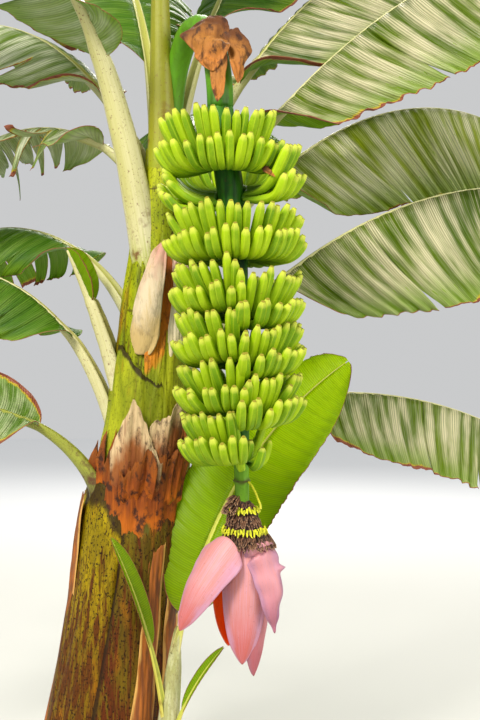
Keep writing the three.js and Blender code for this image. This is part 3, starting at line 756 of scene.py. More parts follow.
# %% [markdown]
# A leaf stalk is a thick channel, open above and round below, and it runs on as the midrib of the
# blade. The tube's outline is a half moon with a groove. The value `groove` is 1 in the channel, so
# the olive channel and the cream sides can take different colours.

# %% Leaf stalk materials
CREAM, OLIVE_GREEN, PALE_GREEN = (0.86, 0.84, 0.66), (0.62, 0.62, 0.26), (0.60, 0.64, 0.12)
STALK_SPOT = (0.42, 0.20, 0.05)


def stalk_material(name, side_tone, groove_tone, spot_tone=STALK_SPOT, spots=0.5, base_tone=PALE_GREEN):
    skin = Skin(name)
    place = skin.map()
    along, around, _ = skin.split(place)
    streaks = skin.noise(1.0, squeeze=(5, 60, 1), place=place)
    patches = skin.ramp(skin.noise(22, 4.0, 0.6), 0.52, 0.70)
    low = skin.ramp(along, 0.30, 0.02)
    keel = skin.ramp(abs(around - 0.5), 0.34, 0.47)
    skin.tone = skin.mix(keel * 0.5, side_tone, groove_tone)
    skin.lay(groove_tone, skin.value("groove"))
    skin.paint(groove_tone, streaks, 0.35, 0.75, 0.5)
    skin.lay(groove_tone, skin.math("SUBTRACT", 1.0, low), 0.45)
    skin.paint(base_tone, along - streaks * 0.16, 0.04, -0.14)
    skin.paint(spot_tone, skin.noise(120, 3.0, 0.65), 0.60, 0.68, spots)
    skin.lay(spot_tone, patches * low, 0.9)
    return skin.finish(0.45, streaks + patches, 0.3, 0.002)


cream_stalk = stalk_material("petiole", CREAM, OLIVE_GREEN)
white_stalk = stalk_material("white_petiole", (0.89, 0.86, 0.71), (0.68, 0.66, 0.32), spots=0.7)
young_stalk = stalk_material("young_petiole", (0.84, 0.78, 0.34), (0.76, 0.78, 0.30), (0.45, 0.3, 0.1), 0.2,
                             CREAM)
olive_stalk = stalk_material("olive_petiole", (0.60, 0.59, 0.11), (0.50, 0.50, 0.08))
old_stalk = stalk_material("old_petiole", (0.62, 0.64, 0.22), (0.48, 0.50, 0.14), (0.34, 0.17, 0.07), 0.9,
                           (0.26, 0.17, 0.11))
print("stalk finishes from", cream_stalk.name, "to", old_stalk.name)

# %% [markdown]
# The tube follows the midrib. Where a stalk joins the stem it clasps it, so its foot grows broad and
# flat and runs down inside the stem, and no gap shows at the joint from any side.

# %% Leaf stalks and midribs
# across, up and groove, from the keel round to the middle of the channel
HALF_MOON = np.array([
    (0, -1, 0), (0.40, -0.90, 0), (0.74, -0.62, 0), (0.94, -0.25, 0), (1.0, 0.18, 0), (0.95, 0.52, 0),
    (0.86, 0.74, 0.1), (0.74, 0.66, 0.5), (0.52, 0.30, 1), (0.26, 0.06, 1), (0, 0.0, 1),
])
HALF_MOON = np.concatenate([HALF_MOON, HALF_MOON[-2:0:-1] * (-1, 1, 1)])
STALK_END = 0.985
TAIL_STEPS = 17


def run_down(made, place, above, down, tail):
    """Leads the foot of a stalk down inside the stem. down is 0 at its base and 1 at the foot."""
    aside = made.base[:2] - (stem_x(made.base[2]), 0)
    turn = math.atan2(aside[1], aside[0])
    z = made.base[2] - down * tail
    r = mix(np.linalg.norm(aside) / stem_radius(made.base[2]), STALK_DEPTH, down ** 2) * stem_radius(z)
    low = np.stack([stem_x(z) + r * math.cos(turn), r * math.sin(turn), z], -1)
    inward = np.array([-math.cos(turn), -math.sin(turn), 0])
    return np.where(down[:, None] > 0, low, place), unit(mix(above, inward, np.sqrt(down)[:, None]))


def put_stalk(bag, made, broad, tail):
    """broad widens the stalk. tail is how far its base runs down inside the stem."""
    down = np.linspace(1, 0, TAIL_STEPS + 1)[:-1] if tail else np.zeros(0)
    s = np.concatenate([
        -down * tail / made.total,
        np.linspace(0, made.start, max(8, int(made.petiole / 0.012)))[:-1],
        np.linspace(made.start, STALK_END, max(10, int(made.blade / 0.02))),
    ])
    down = np.concatenate([down, np.zeros(len(s) - len(down))])
    q = (s - made.start) / (1 - made.start)
    in_blade = smooth((q + 0.02) / 0.12)
    w = stalk_width(made, np.clip(s, 0, 1)) * mix(broad, 1, in_blade)
    stalk_depth = made.stalk * mix(1, 0.75, np.clip(s / made.start, 0, 1))
    depth = mix(stalk_depth, 0.010 + 0.012 * (1 - np.clip(q, 0, 1)), in_blade)
    depth = np.minimum(depth, mix(1.0, 1.5, in_blade) * w) * (1 - down) ** 1.6
    rise = w * mix(0.95, 0.35, in_blade) * (1 - 0.6 * down)
    inside = 0.75 * stem_radius(made.base[2] - down * tail)
    w = np.where(down > 0, np.minimum(w * (1 + 0.9 * down), inside), w)
    place, along, left, above = on_midrib(made, s)
    if tail:
        place, above = run_down(made, place, above, down, tail)
    x, y = HALF_MOON[:, 0], HALF_MOON[:, 1]
    up = np.where(y > 0, y * rise[:, None], y * depth[:, None])
    wobble = 1 + 0.03 * waves(s[:, None] * 30, x + y, 5, 2)
    rings = (place[:, None] + left[:, None] * (w[:, None] * x * wobble)[..., None]
             + above[:, None] * (up * wobble)[..., None])
    uv = np.stack(np.broadcast_arrays(s[:, None] * made.total, np.linspace(0, 1, len(x))), -1)
    put_tube(bag, rings, uv, np.broadcast_to(HALF_MOON[:, 2], uv.shape[:2]))


TAIL = 0.24
# finish and breadth, where they aren't the common ones
stalk_looks = {
    "leaf_front": (olive_stalk, 1.35), "leaf_left_7": (old_stalk, 1.0),
    "leaf_left_1": (white_stalk, 1.3), "leaf_left_6": (white_stalk, 1.3), "stub_petiole": (white_stalk, 1.35),
    "leaf_right_1": (cream_stalk, 1.25), "leaf_right_2": (cream_stalk, 1.25),
    "leaf_right_3": (cream_stalk, 1.2), "leaf_right_4": (cream_stalk, 1.2),
}
for name, made in leaves.items():
    on_shoot = "shoot" in name
    material, broad = stalk_looks.get(name, (young_stalk if on_shoot else cream_stalk, 1.0))
    bag = Bag()
    put_stalk(bag, made, broad, 0.0 if on_shoot else TAIL)
    finish_piece(bag.make(name + "_stalk", [material], "groove"), "petiole")

# %% [markdown]
# The false stem's skin is olive with brown-black specks, and lower down the specks run together
# into upright streaks. Each leaf has its own sheath, which swells under the leaf and wraps round
# the stem, so the surface is built from overlapping swellings with a fine step at every sheath edge.

# %% Stem material
EARTH_BROWN, RUST_BROWN, SCAR_BROWN, CREASE_AND_SHADE_BROWN = (
    (0.42, 0.30, 0.015), (0.62, 0.35, 0.04), (0.20, 0.11, 0.05), (0.16, 0.10, 0.04))
BARK_SPECK = (0.14, 0.07, 0.012)


def bark_material(name, tones, amount, low_from=1.15, low_to=0.2, earth=0.6, scars=0.0, speck=BARK_SPECK):
    """tones: dark green, light green and brown. From low_from down to low_to it turns to earth brown.
    The value that the mesh carries is 1 in the grooves between sheaths, on a shell's dark upper rim
    and in the painted shade where a shell lies under its neighbour, and there the skin turns dark brown.
    """
    dark, light, brown = tones
    skin = Skin(name)
    hills = skin.noise(9, 4.0, 0.6, (1, 1, 0.35))
    streaks = skin.noise(70, 4.0, 0.65, (1, 1, 0.045))
    fine = skin.noise(190, 3.0, 0.6, (1, 1, 0.12))
    specks = skin.noise(150, 4.0, 0.7, (1, 1, 0.7))
    rust = skin.noise(13, squeeze=(1, 1, 0.3))
    low = skin.ramp(skin.split(skin.where)[2], low_from, low_to)
    skin.tone = skin.mix(skin.ramp(hills, 0.35, 0.62), dark, light)
    skin.paint(dark, streaks, 0.42, 0.62, 0.45)
    skin.lay(EARTH_BROWN, low, earth)
    skin.paint(RUST_BROWN, rust, 0.56, 0.72, 0.65)
    skin.paint(brown, streaks + (low - 0.45) * 0.16, 0.49, 0.63, amount)
    skin.paint(speck, specks, 0.54, 0.61, amount)
    skin.paint(speck, fine, 0.50, 0.68, 0.45 * amount)
    if scars:
        marks = skin.noise(11, 3.0, 0.6, (0.35, 0.35, 2.2))
        skin.paint(SCAR_BROWN, marks, 0.62, 0.66, scars)
    # dark brown in the grooves and on the upper rims, and painted shade under a neighbouring sheath
    skin.lay(CREASE_AND_SHADE_BROWN, skin.value("crease"), 0.75)
    return skin.finish(0.55, streaks + fine * 0.4, 0.6, 0.004, 0.15)


stem_skin = bark_material("stem_skin", ((0.46, 0.51, 0.03), (0.68, 0.70, 0.07), (0.35, 0.22, 0.04)), 0.7,
                          1.0, scars=0.7)
left_skin = bark_material("left_sheath_skin", ((0.50, 0.43, 0.01), (0.72, 0.62, 0.02), (0.36, 0.19, 0.02)),
                          1.0, 0.90, 0.42, 0.85)
right_skin = bark_material("right_sheath_skin", ((0.30, 0.25, 0.03), (0.44, 0.38, 0.045), (0.36, 0.16, 0.03)),
                           1.0)
print("bark finishes:", stem_skin.name, left_skin.name, right_skin.name)

# %% [markdown]
# The false stem is one closed tube. Its relief is summed from the swellings of all the sheaths, so a
# ridge runs down under every leaf.

# %% False stem
SHEATH_SWELL, SHEATH_STEP = 0.011, 0.0035
stem_bases = [(made.base[2], math.radians(made.az)) for made in crown + [leaves["stub_petiole"]]]


def sheath_relief(z, turn):
    """How far the overlapping sheaths lift the surface, and how deep in a groove a place lies."""
    lift, groove = 0 * z, 0 * z
    for height, way in stem_bases:
        off = np.abs((turn - way + math.pi) % (2 * math.pi) - math.pi)
        below = height + 0.05 - z
        swell = smooth(below / 0.22) * np.exp(-np.clip(below, 0, 3) / 0.55)
        lift = lift + SHEATH_SWELL * swell * np.exp(-(off / 0.85) ** 4)
        span = 1.25 + 0.9 * np.clip(below, 0, 2) + 0.05 * waves(z * 3, 0 * z, int(height * 100), 2)
        present = smooth(below / 0.12) * (span < 2.9)
        lift = lift + SHEATH_STEP * present * smooth((span - off) / 0.10)
        groove = np.maximum(groove, present * np.exp(-((off - span - 0.02) / 0.035) ** 2))
    return lift, groove


def stem_point(z, turn, out):
    r = stem_radius(z) + out
    return np.stack([stem_x(z) + r * np.cos(turn), r * np.sin(turn), z], -1)


STEM_RINGS, STEM_SIDES = 260, 132
levels = np.concatenate([[0.0], np.linspace(0.004, STEM_HEIGHT, STEM_RINGS)])[:, None]
z, turn = np.broadcast_arrays(levels, circle(STEM_SIDES))
lift, groove = sheath_relief(z, turn)
veins = 0.0005 * np.sin(turn * 60 + 3 * waves(z * 2, turn, 4, 2)) + 0.0006 * waves(z * 3, turn * 5, 5, 3)
top = smooth((z - STEM_HEIGHT + 0.02) / 0.02)
rings = stem_point(z, turn, lift - 0.004 + veins - 0.006 * groove - 0.012 * top)
uv = np.stack([turn, z], -1)
finish_tube("stem", rings, stem_skin, "crease", "stem", "pseudostem", uv=uv, value=groove)

# %% [markdown]
# The two outermost sheaths at the foot are old. They are thick shells on the stem with a dried,
# torn upper edge. The left one ends in a papery cream margin along the plant's left side.

# %% Shells on the stem
def put_shell(bag, az0, az1, z0, top_edge, thick, seed, rows=120, columns=60, lift=0.0, flare=0.0,
              clear=0.0004, relief=0.003, slant=0.0, sink=0.0, pinch=1.0, folds=0.0, collar=0.97,
              tents=3.2, shift=0.0, ribs=0.0007, foot=0.14, shade=-1.0):
    """A sheath on the stem between two directions, from z0 up to the edge top_edge(u).

    lift takes its upper end off the stem, flare its rim, slant turns it sideways on the way up, sink
    lets its foot run into the stem, pinch narrows its foot, folds are the depth of its tent-like folds,
    tents their number, shift their place, collar is where its dark upper rim begins, ribs the height
    of its fine ribs, foot the share of its height over which it sinks and shade the share of its
    width that lies under its neighbour and is darkened there with painted shade.
    """
    u = np.linspace(0, 1, columns)[None]
    v = np.linspace(0, 1, rows)[:, None]
    z = z0 + (top_edge(u) - z0) * v
    spread = mix(pinch, 1, smooth(v / 0.55))
    turn = np.radians(mix(az0, az1, 0.5 + (u - 0.5) * spread) + slant * v ** 1.5)
    edge = np.minimum(u, 1 - u) * math.radians(az1 - az0) * 0.12
    body = thick * smooth(edge / 0.012 + 0.12) * (1 - 0.6 * smooth((v - 0.9) / 0.1))
    ribs = ribs * np.sin(turn * 70 + 4 * waves(z * 3, turn, seed, 2))
    ribs = ribs + relief * waves(z * 7, turn * 6, seed + 1, 3) * (0.3 + 0.7 * v)
    tent = np.abs((u * tents + shift + 0.08 * tents * waves(v * 2, u, seed + 3, 2)) % 1 - 0.5) * 2
    out = sheath_relief(z, turn)[0] - 0.003 + clear + body / 2 + lift * v ** 2 + ribs + folds * tent * v
    low = smooth((foot - v + 0.05 * waves(u * 9, v * 3, seed + 2, 3)) / foot)
    out = out + flare * smooth((v - 0.8) / 0.2) - sink * low
    outward = np.stack([np.cos(turn), np.sin(turn), 0 * turn], -1)
    dark = smooth((v - collar + 0.02 * waves(u * 12, v * 4, seed + 5, 2)) / 0.03) + 0 * u
    # painted shade along the side that lies under the neighbouring sheath
    dark = 1.2 * np.maximum(dark, smooth((shade - u) / 0.03))
    uv = np.stack(np.broadcast_arrays(u, v), -1)
    put_sheet(bag, stem_point(z, turn, out), np.maximum(body, 0.0012), outward, uv, dark)


def torn(base, seed, depth, pace):
    """The edge base(u), torn to the given depth."""
    def edge(u):
        nicks = np.abs(waves(u * pace * 2.3, 0 * u, seed + 1, 2))
        return base(u) + depth * waves(u * pace, 0 * u, seed, 3) - depth * nicks
    return edge


def make_shells(name, material, slot, nodes, shells):
    """shells: (az0, az1, foot, edge, thickness, seed, and the other measures of put_shell)."""
    bag = Bag()
    for *place, measures in shells:
        put_shell(bag, *place, **measures)
    finish_piece(bag.make(name, [material], "crease"), slot, *nodes)


print("shell helpers ready")

# %% [markdown]
# At the foot lie the left and the right sheath, two smoother ones above them, and three dry margins.
# The margins are streaked with rust brown and turn cream at their frayed edges.

# %% Outer sheaths at the foot
skin = Skin("sheath_margin")
streaks = skin.noise(90, 4.0, 0.6, (1, 1, 0.06))
patches = skin.noise(14, 3.0, 0.6, (1, 1, 0.4))
skin.tone = skin.mix(skin.ramp(streaks, 0.35, 0.68), (0.68, 0.38, 0.08), (0.46, 0.24, 0.06))
skin.paint((0.26, 0.15, 0.06), patches, 0.46, 0.68, 0.8)
frayed = (streaks - 0.5) * 0.3 + (patches - 0.5) * 0.5
rim = abs(skin.split(skin.map())[0] - 0.5) + frayed
skin.paint((0.86, 0.66, 0.34), rim, 0.34, 0.46, 0.9)
margin_skin = skin.finish(0.7, streaks, 0.6, 0.003)
SMOOTH_TONES = (0.46, 0.50, 0.07), (0.66, 0.68, 0.12), (0.50, 0.40, 0.10)
smooth_skin = bark_material("smooth_sheath_skin", SMOOTH_TONES, 0.35, 0.9)

make_shells("sheath_left_skin", left_skin, "stem", ["sheath_left"], [
    (150, 262, 0.0, torn(lambda u: 0.985 - 0.09 * smooth((u - 0.6) / 0.4), 11, 0.008, 14), 0.015, 21,
     dict(collar=0.915)),
])
# its side under the left sheath is darkened with painted shade
make_shells("sheath_right_skin", right_skin, "stem", ["sheath_right"], [
    (254, 372, 0.0, torn(lambda u: 0.895 - 0.040 * u, 13, 0.008, 22), 0.010, 23,
     dict(columns=90, shade=0.100)),
])
make_shells("smooth_sheaths", smooth_skin, "stem", [], [
    (208, 300, 1.02, torn(lambda u: 1.400 - 0.090 * smooth(u * 1.2) - 0.03 * u, 18, 0.004, 14), 0.006, 28,
     dict(rows=110, clear=0.003, relief=0.001, sink=0.010, collar=0.925, ribs=0.0003)),
    (268, 345, 1.02, torn(lambda u: 1.62 - 0.03 * u, 19, 0.004, 14), 0.005, 29,
     dict(rows=90, clear=0.000, relief=0.001, sink=0.010, collar=1.2, ribs=0.0003)),
])
make_shells("sheath_margins", margin_skin, "dry_sheath", [], [
    (178, 201, 0.002, torn(lambda u: 0.955 - 0.10 * np.abs(u - 0.7), 15, 0.014, 8), 0.003, 25,
     dict(lift=0.003, flare=0.006, rows=110, columns=20, clear=0.014, relief=0.009, slant=5, pinch=1.3)),
    (340, 364, 0.002, torn(lambda u: 0.66 - 0.10 * u, 16, 0.010, 6), 0.004, 26,
     dict(lift=0.003, flare=0.008, rows=100, columns=14, clear=0.010, relief=0.006, slant=-20)),
    (300, 322, 0.06, torn(lambda u: 0.72 + 0.09 * np.sqrt(u), 17, 0.010, 6), 0.003, 27,
     dict(lift=0.003, flare=0.002, rows=100, columns=30, clear=0.009, relief=0.004, slant=-6, sink=0.010,
          pinch=2.0, foot=0.3)),
])

# %% [markdown]
# Dead sheath ends stand round the stem in two tiers: pointed, papery and torn. Their outside is
# rust brown near the foot and pale cream towards the points, with fine upright fibres.

# %% Papery materials
STEM_GREEN, OLIVE = (0.52, 0.55, 0.08), (0.36, 0.34, 0.08)
STAIN_BROWN = (0.20, 0.10, 0.05)


def papery_material(name, low, middle, high, stain, foot=None, axis=1):
    """low, middle and high are the tones along one axis of its map. foot is where it meets the stem."""
    skin = Skin(name)
    streaks = skin.noise(110, 4.0, 0.65, (1, 1, 0.05))
    patches = skin.noise(16, 4.0, 0.6, (1, 1, 0.35))
    blots = skin.noise(38, 5.0, 0.65, (1, 1, 0.6))
    height = skin.split(skin.map())[axis] + (patches - 0.5) * 0.8
    skin.tone = skin.mix(skin.ramp(height, 0.15, 0.50), low, middle)
    skin.paint(high, height, 0.55, 0.90)
    skin.paint(low, streaks, 0.48, 0.68, 0.5)
    skin.paint(STAIN_BROWN, blots, 0.50, 0.64, stain)
    if foot:
        skin.paint(foot, height, 0.20, 0.06)
    return skin.finish(0.7, streaks + blots * 0.8, 0.7, 0.004, 0.3)


papery_tones = {
    "papery_brown": ((0.44, 0.17, 0.025), (0.58, 0.34, 0.15), (0.84, 0.73, 0.55), 0.75),
    "papery_rust": ((0.72, 0.37, 0.01), (0.50, 0.23, 0.01), (0.52, 0.28, 0.07), 0.95, OLIVE),
    "papery_cream": ((0.84, 0.78, 0.62), (0.90, 0.85, 0.74), (0.86, 0.70, 0.62), 0.16),
    "papery_orange": ((0.78, 0.50, 0.08), (0.78, 0.44, 0.08), (0.62, 0.32, 0.12), 0.6, STEM_GREEN),
    "papery_spear": ((0.76, 0.65, 0.42), (0.84, 0.77, 0.64), (0.78, 0.58, 0.50), 0.25, None, 0),
    "papery_flag": ((0.36, 0.20, 0.08), (0.62, 0.40, 0.16), (0.68, 0.42, 0.16), 0.85, None, 0),
}
papery = {name: papery_material(name, *tones) for name, tones in papery_tones.items()}
print("papery finishes:", ", ".join(papery))

# %% [markdown]
# Each dead sheath is a shell like the living ones, but thin, folded like a tent and torn at the top.
# Its upper edge is a row of points or one slanted line, and its foot sinks into the stem.

# %% Dead sheath ends
def peaks(low, *points):
    """An upper edge with several points: (place, half width, height)."""
    return lambda u: np.max([low + (high - low) * np.clip(1 - np.abs(u - at) / width, 0, 1)
                             for at, width, high in points], axis=0)


# finish, depth of the torn edge, CAD node, and shells as make_shells takes them, without a seed
dead_sheaths = {
    "dry_tent": ("papery_brown", 0.009, ["dry_sheath_low_2"], [
        (238, 300, 0.900, peaks(1.060, (0.42, 0.50, 1.235)), 0.004,
         dict(lift=0.018, clear=0.010, folds=0.034, tents=1.0, shift=0.58, slant=-2, sink=0.022, foot=0.5)),
        (280, 330, 0.940, lambda u: 1.150 + 0.125 * u, 0.003,
         dict(lift=0.024, clear=0.008, relief=0.004, folds=0.010, tents=1.0, shift=0.3, sink=0.020,
              foot=0.4)),
    ]),
    "dry_rags": ("papery_rust", 0.009, ["dry_sheath_low_1"], [
        (232, 332, 0.790, peaks(1.060, (0.05, 0.08, 1.120), (0.18, 0.08, 1.150), (0.40, 0.10, 1.090),
                                (0.85, 0.2, 1.120)), 0.004,
         dict(lift=0.014, clear=0.003, relief=0.006, folds=0.008, tents=5)),
        (198, 240, 0.930, peaks(1.040, (0.20, 0.18, 1.120), (0.52, 0.16, 1.145), (0.85, 0.18, 1.160)), 0.003,
         dict(lift=0.010, clear=0.003, relief=0.006, folds=0.010)),
        (252, 292, 0.900, peaks(1.020, (0.7, 0.5, 1.090)), 0.003,
         dict(lift=0.016, clear=0.020, relief=0.006, folds=0.012, tents=2.0, sink=0.024, foot=0.5)),
        (304, 336, 0.900, peaks(1.050, (0.5, 0.4, 1.150)), 0.003,
         dict(lift=0.016, clear=0.010, relief=0.008, folds=0.010)),
    ]),
    "flat_strip": ("papery_cream", 0.003, ["dry_sheath_high_2"], [
        (296, 336, 1.350, lambda u: 1.685 + 0.02 * u, 0.003,
         dict(lift=0.010, clear=0.005, relief=0.002, slant=4, pinch=0.8)),
    ]),
    "orange_strip": ("papery_orange", 0.009, [], [
        (256, 300, 1.285, peaks(1.560, (0.62, 1.2, 1.675)), 0.003,
         dict(lift=0.002, clear=0.002, relief=0.004, folds=0.006, tents=2, slant=4, pinch=0.6)),
    ]),
}
COMMON = dict(sink=0.014, rows=100, columns=48)
for number, (name, (finish, depth, nodes, shells)) in enumerate(dead_sheaths.items()):
    ready = []
    for part, (az0, az1, foot, edge, thick, measures) in enumerate(shells):
        seed = 40 + 9 * number + part
        ready.append((az0, az1, foot, torn(edge, seed + 300, depth, 14), thick, seed, {**COMMON, **measures}))
    make_shells(name, papery[finish], "dry_sheath", nodes, ready)

# %% [markdown]
# The fruit stalk rises out of the crown, bends over and hangs straight down. It is smooth, green
# and as thick as an arm above, and it thins towards the bud. The scars of fallen scale leaves ring
# its lower end.

# %% Fruit stalk
# height, middle in x and y, and radius
FRUIT_AXIS = np.array([
    (2060, 394, -292, 37), (1950, 404, -297, 38), (1820, 424, -300, 38), (1600, 438, -300, 34),
    (1300, 447, -300, 27), (1000, 455, -300, 20), (935, 456, -300, 19),
]) / 1000
BUNCH_Y = -0.300


def axis_at(z):
    rows = FRUIT_AXIS[::-1]
    return [np.interp(z, rows[:, 0], rows[:, k]) for k in (1, 2, 3)]


def stalk_skin(name, dark, pale):
    skin = Skin(name)
    streaks = skin.noise(60, 3.0, 0.6, (1, 1, 0.12))
    height = skin.split(skin.where)[2]
    skin.tone = skin.mix(skin.ramp(streaks, 0.35, 0.7), dark, pale)
    # painted light and shade: lighter green below the hands and over the top of the arch, darker among the
    # hands
    light = skin.math("MAXIMUM", skin.ramp(height, 1.15, 1.02), skin.ramp(height, 2.02, 2.16) * 0.6)
    skin.lay((0.42, 0.62, 0.10), light, 0.85)
    skin.paint((0.30, 0.20, 0.08), skin.noise(130, 3.0, 0.7), 0.60, 0.68, 0.5)
    skin.lay((0.24, 0.13, 0.06), skin.value("scar"))
    return skin.finish(0.5, streaks, 0.3, 0.002, 0.25)


fruit_stalk_skin = stalk_skin("fruit_stalk_skin", (0.08, 0.27, 0.02), (0.20, 0.45, 0.04))
z = np.linspace(2.062, 0.932, 190)[:, None]
turn = circle(36)
x, y, r = axis_at(z)
low = smooth((1.06 - z) / 0.05)
ring_scar = low * np.exp(-((z - 1.010 + 0.003 * np.sin(turn * 3)) / 0.005) ** 2)
ridges = 0.0006 * np.sin(turn * 9)
r = r * 0.99 + ridges + 0.0012 * waves(z * 12, turn * 2, 8, 3) + 0.0050 * ring_scar
finish_tube("fruit_stalk_skin", turned(x, y, r, z, turn), fruit_stalk_skin, "scar", "fruit_stalk",
            "fruit_stalk", value=np.clip(ring_scar, 0, 1))

# %% [markdown]
# The arch follows a cubic curve from the crown to the top of the hanging stalk, and starts inside
# the stem. Rings of points stand square to the curve.

# %% Arch of the fruit stalk
def bezier(points, t):
    a, b, c, d = points
    t = t[:, None]
    place = a * (1 - t) ** 3 + 3 * b * t * (1 - t) ** 2 + 3 * c * t * t * (1 - t) + d * t ** 3
    way = 3 * (b - a) * (1 - t) ** 2 + 6 * (c - b) * t * (1 - t) + 3 * (d - c) * t * t
    return place, unit(way)


arch_from = np.array([STEM_LEAN + 0.018, 0.008, STEM_HEIGHT])
arch_to = np.array([0.394, -0.292, 2.0603])
t = np.linspace(0, 1, 80)
place, way = bezier([arch_from, arch_from + (0.016, 0, 0.460), arch_to + (0, 0, 0.340), arch_to], t)
first = unit(np.cross(way, unit(np.array([0.78, -0.62, 0.0]))))
second = unit(np.cross(first, way))
r = mix(0.034, 0.036, t)[:, None] + 0.0015 * waves(t[:, None] * 9, turn * 2, 9, 3) + ridges
rings = (place[:, None] + first[:, None] * (r * np.cos(turn))[..., None]
         + second[:, None] * (r * np.sin(turn))[..., None])
finish_tube("fruit_stalk_arch_skin", rings, fruit_stalk_skin, "scar", "fruit_stalk", "fruit_stalk_arch")

# %% [markdown]
# A bunch is made of hands: rings of fingers that stand in two rows on a cushion. Each finger leaves
# the cushion outward, bends and grows upward. Geometry Nodes sweep one ridged outline along all the
# curved lines of a hand. The lines come in as edges that carry the thickness and the place along
# the finger, so every finger can be a little different.

# %% Node group for rods
def rods_group():
    group = bpy.data.node_groups.new("ridged_rods", "GeometryNodeTree")
    kinds = {"Geometry": "Geometry", "Sides": "Int", "Ridges": "Float", "Height": "Float",
             "Material": "Material"}
    keys = {name: group.interface.new_socket(name, in_out="INPUT", socket_type="NodeSocket" + kind).identifier
            for name, kind in kinds.items()}
    group.interface.new_socket("Geometry", in_out="OUTPUT", socket_type="NodeSocketGeometry")
    tree = Tree(group)
    entry = tree.node("NodeGroupInput")
    lines, sides, ridges, height, finish = (Value(tree, entry.outputs[name]) for name in kinds)
    lines = tree.add("GeometryNodeMeshToCurve", {"Mesh": lines})
    thickness = tree.add("GeometryNodeInputNamedAttribute", {"Name": "thickness"}, data_type="FLOAT")
    profile = tree.add("GeometryNodeCurvePrimitiveCircle", {"Resolution": sides, "Radius": 1.0})
    place = tree.add("GeometryNodeInputPosition")
    x, y, _ = tree.split(place)
    wave = tree.math("COSINE", tree.math("ARCTAN2", y, x) * ridges)
    outline = tree.add("ShaderNodeVectorMath", {0: place, "Scale": wave * height + 1.0}, operation="SCALE")
    inputs = {"Geometry": profile, "Name": "ridge", "Value": wave * 0.5 + 0.5}
    profile = tree.add("GeometryNodeStoreNamedAttribute", inputs, data_type="FLOAT", domain="POINT")
    profile = tree.add("GeometryNodeSetPosition", {"Geometry": profile, "Position": outline})
    inputs = {"Curve": lines, "Profile Curve": profile, "Scale": thickness, "Fill Caps": True}
    made = tree.add("GeometryNodeCurveToMesh", inputs)
    made = tree.add("GeometryNodeSetShadeSmooth", {"Geometry": made})
    made = tree.add("GeometryNodeSetMaterial", {"Geometry": made, "Material": finish})
    tree.node("NodeGroupOutput", {"Geometry": made})
    return group, keys


rods, rod_keys = rods_group()


def make_rods(name, lines, thickness, along, tone, material, sides, ridges, height):
    """lines: rods x points x 3. thickness and along match it. tone has one value for each rod."""
    count, steps = lines.shape[:2]
    first = (np.arange(count)[:, None] * steps + np.arange(steps - 1)).reshape(-1)
    mesh = bpy.data.meshes.new(name)
    mesh.from_pydata(lines.reshape(-1, 3).tolist(), np.stack([first, first + 1], -1).tolist(), [])
    for key, value in (("thickness", thickness), ("along", along), ("tone", np.repeat(tone, steps))):
        values = np.asarray(value, np.float32).reshape(-1)
        mesh.attributes.new(key, "FLOAT", "POINT").data.foreach_set("value", values)
    piece = bpy.data.objects.new(name, mesh)
    bpy.context.collection.objects.link(piece)
    modifier = piece.modifiers.new("rods", "NODES")
    modifier.node_group = rods
    settings = {"Sides": sides, "Ridges": ridges, "Height": height, "Material": material}
    for key, value in settings.items():
        modifier[rod_keys[key]] = value
    ready = piece.evaluated_get(bpy.context.evaluated_depsgraph_get())
    solid = bpy.data.meshes.new_from_object(ready)
    solid.name = name
    piece.modifiers.clear()
    piece.data = solid
    bpy.data.meshes.remove(mesh)
    return piece


print("node group", rods.name, "with", len(rods.nodes), "nodes")

# %% [markdown]
# A green banana is yellow green at the tip, where a brown scar is left from the flower. Its foot, where
# the fingers crowd together, is darkened with painted shade, and its ridges are lightened with painted
# highlights. The tones follow the values `along` and `ridge` that the rods carry.

# %% Finger material
skin = Skin("fruit_skin")
along, ridge, rod_tone = (skin.value(name) for name in ("along", "ridge", "tone"))
mottle = skin.noise(240, 2.0)
shade = skin.ramp(rod_tone * 0.5 + skin.noise(26) * 0.6, 0.25, 0.85)
skin.tone = skin.mix(shade, (0.41, 0.57, 0.02), (0.63, 0.75, 0.05))
# painted highlight along the ridges
skin.paint((0.76, 0.83, 0.17), ridge, 0.60, 1.0, 0.40)
skin.paint((0.72, 0.80, 0.15), mottle, 0.45, 0.75, 0.15)
# painted shade at the foot of each finger, where the fingers crowd
skin.paint((0.22, 0.38, 0.015), along, 0.62, 0.06, 0.8)
skin.paint((0.82, 0.83, 0.32), along, 0.88, 0.97, 0.7)
skin.paint((0.38, 0.28, 0.08), skin.noise(160, 3.0, 0.7), 0.66, 0.70, 0.5)
skin.paint((0.48, 0.40, 0.14), along, 0.990, 0.997, 0.8)
fruit_skin = skin.finish(skin.ramp(along, 0.62, 0.30) * 0.4 + 0.5, mottle, 0.12, 0.001, 0.2)
print("finger material", fruit_skin.name)

# %% [markdown]
# The fingers of a hand stand in an upper and a lower row. They crowd towards the front, and random
# draws turn each of them a little. One row of the table is one hand, from the top hand down.

# %% Fingers
FINGER_RADIUS = 0.0132
FINGER_FORM = 15, 5.0, 0.07  # sides, ridges and their height
# for the upper and the lower row: how far the bend and the tip lie in, the foot and bend up, tip share
UPPER_ROW = 0.080, 0.009, 0.005, 0.004, 1
LOWER_ROW = 0.048, 0.0, -0.006, -0.026, 0.42
FRONT_CROWDING = 0.28
LEFT_REACH = 0.028
PATH_STEPS = 15
SWELL_AT = [0, 0.08, 0.20, 0.36, 0.52, 0.78, 0.90, 0.955, 0.985, 1.0]
SWELL = [0.42, 0.46, 0.66, 0.92, 1.0, 1.0, 0.90, 0.76, 0.58, 0.40]
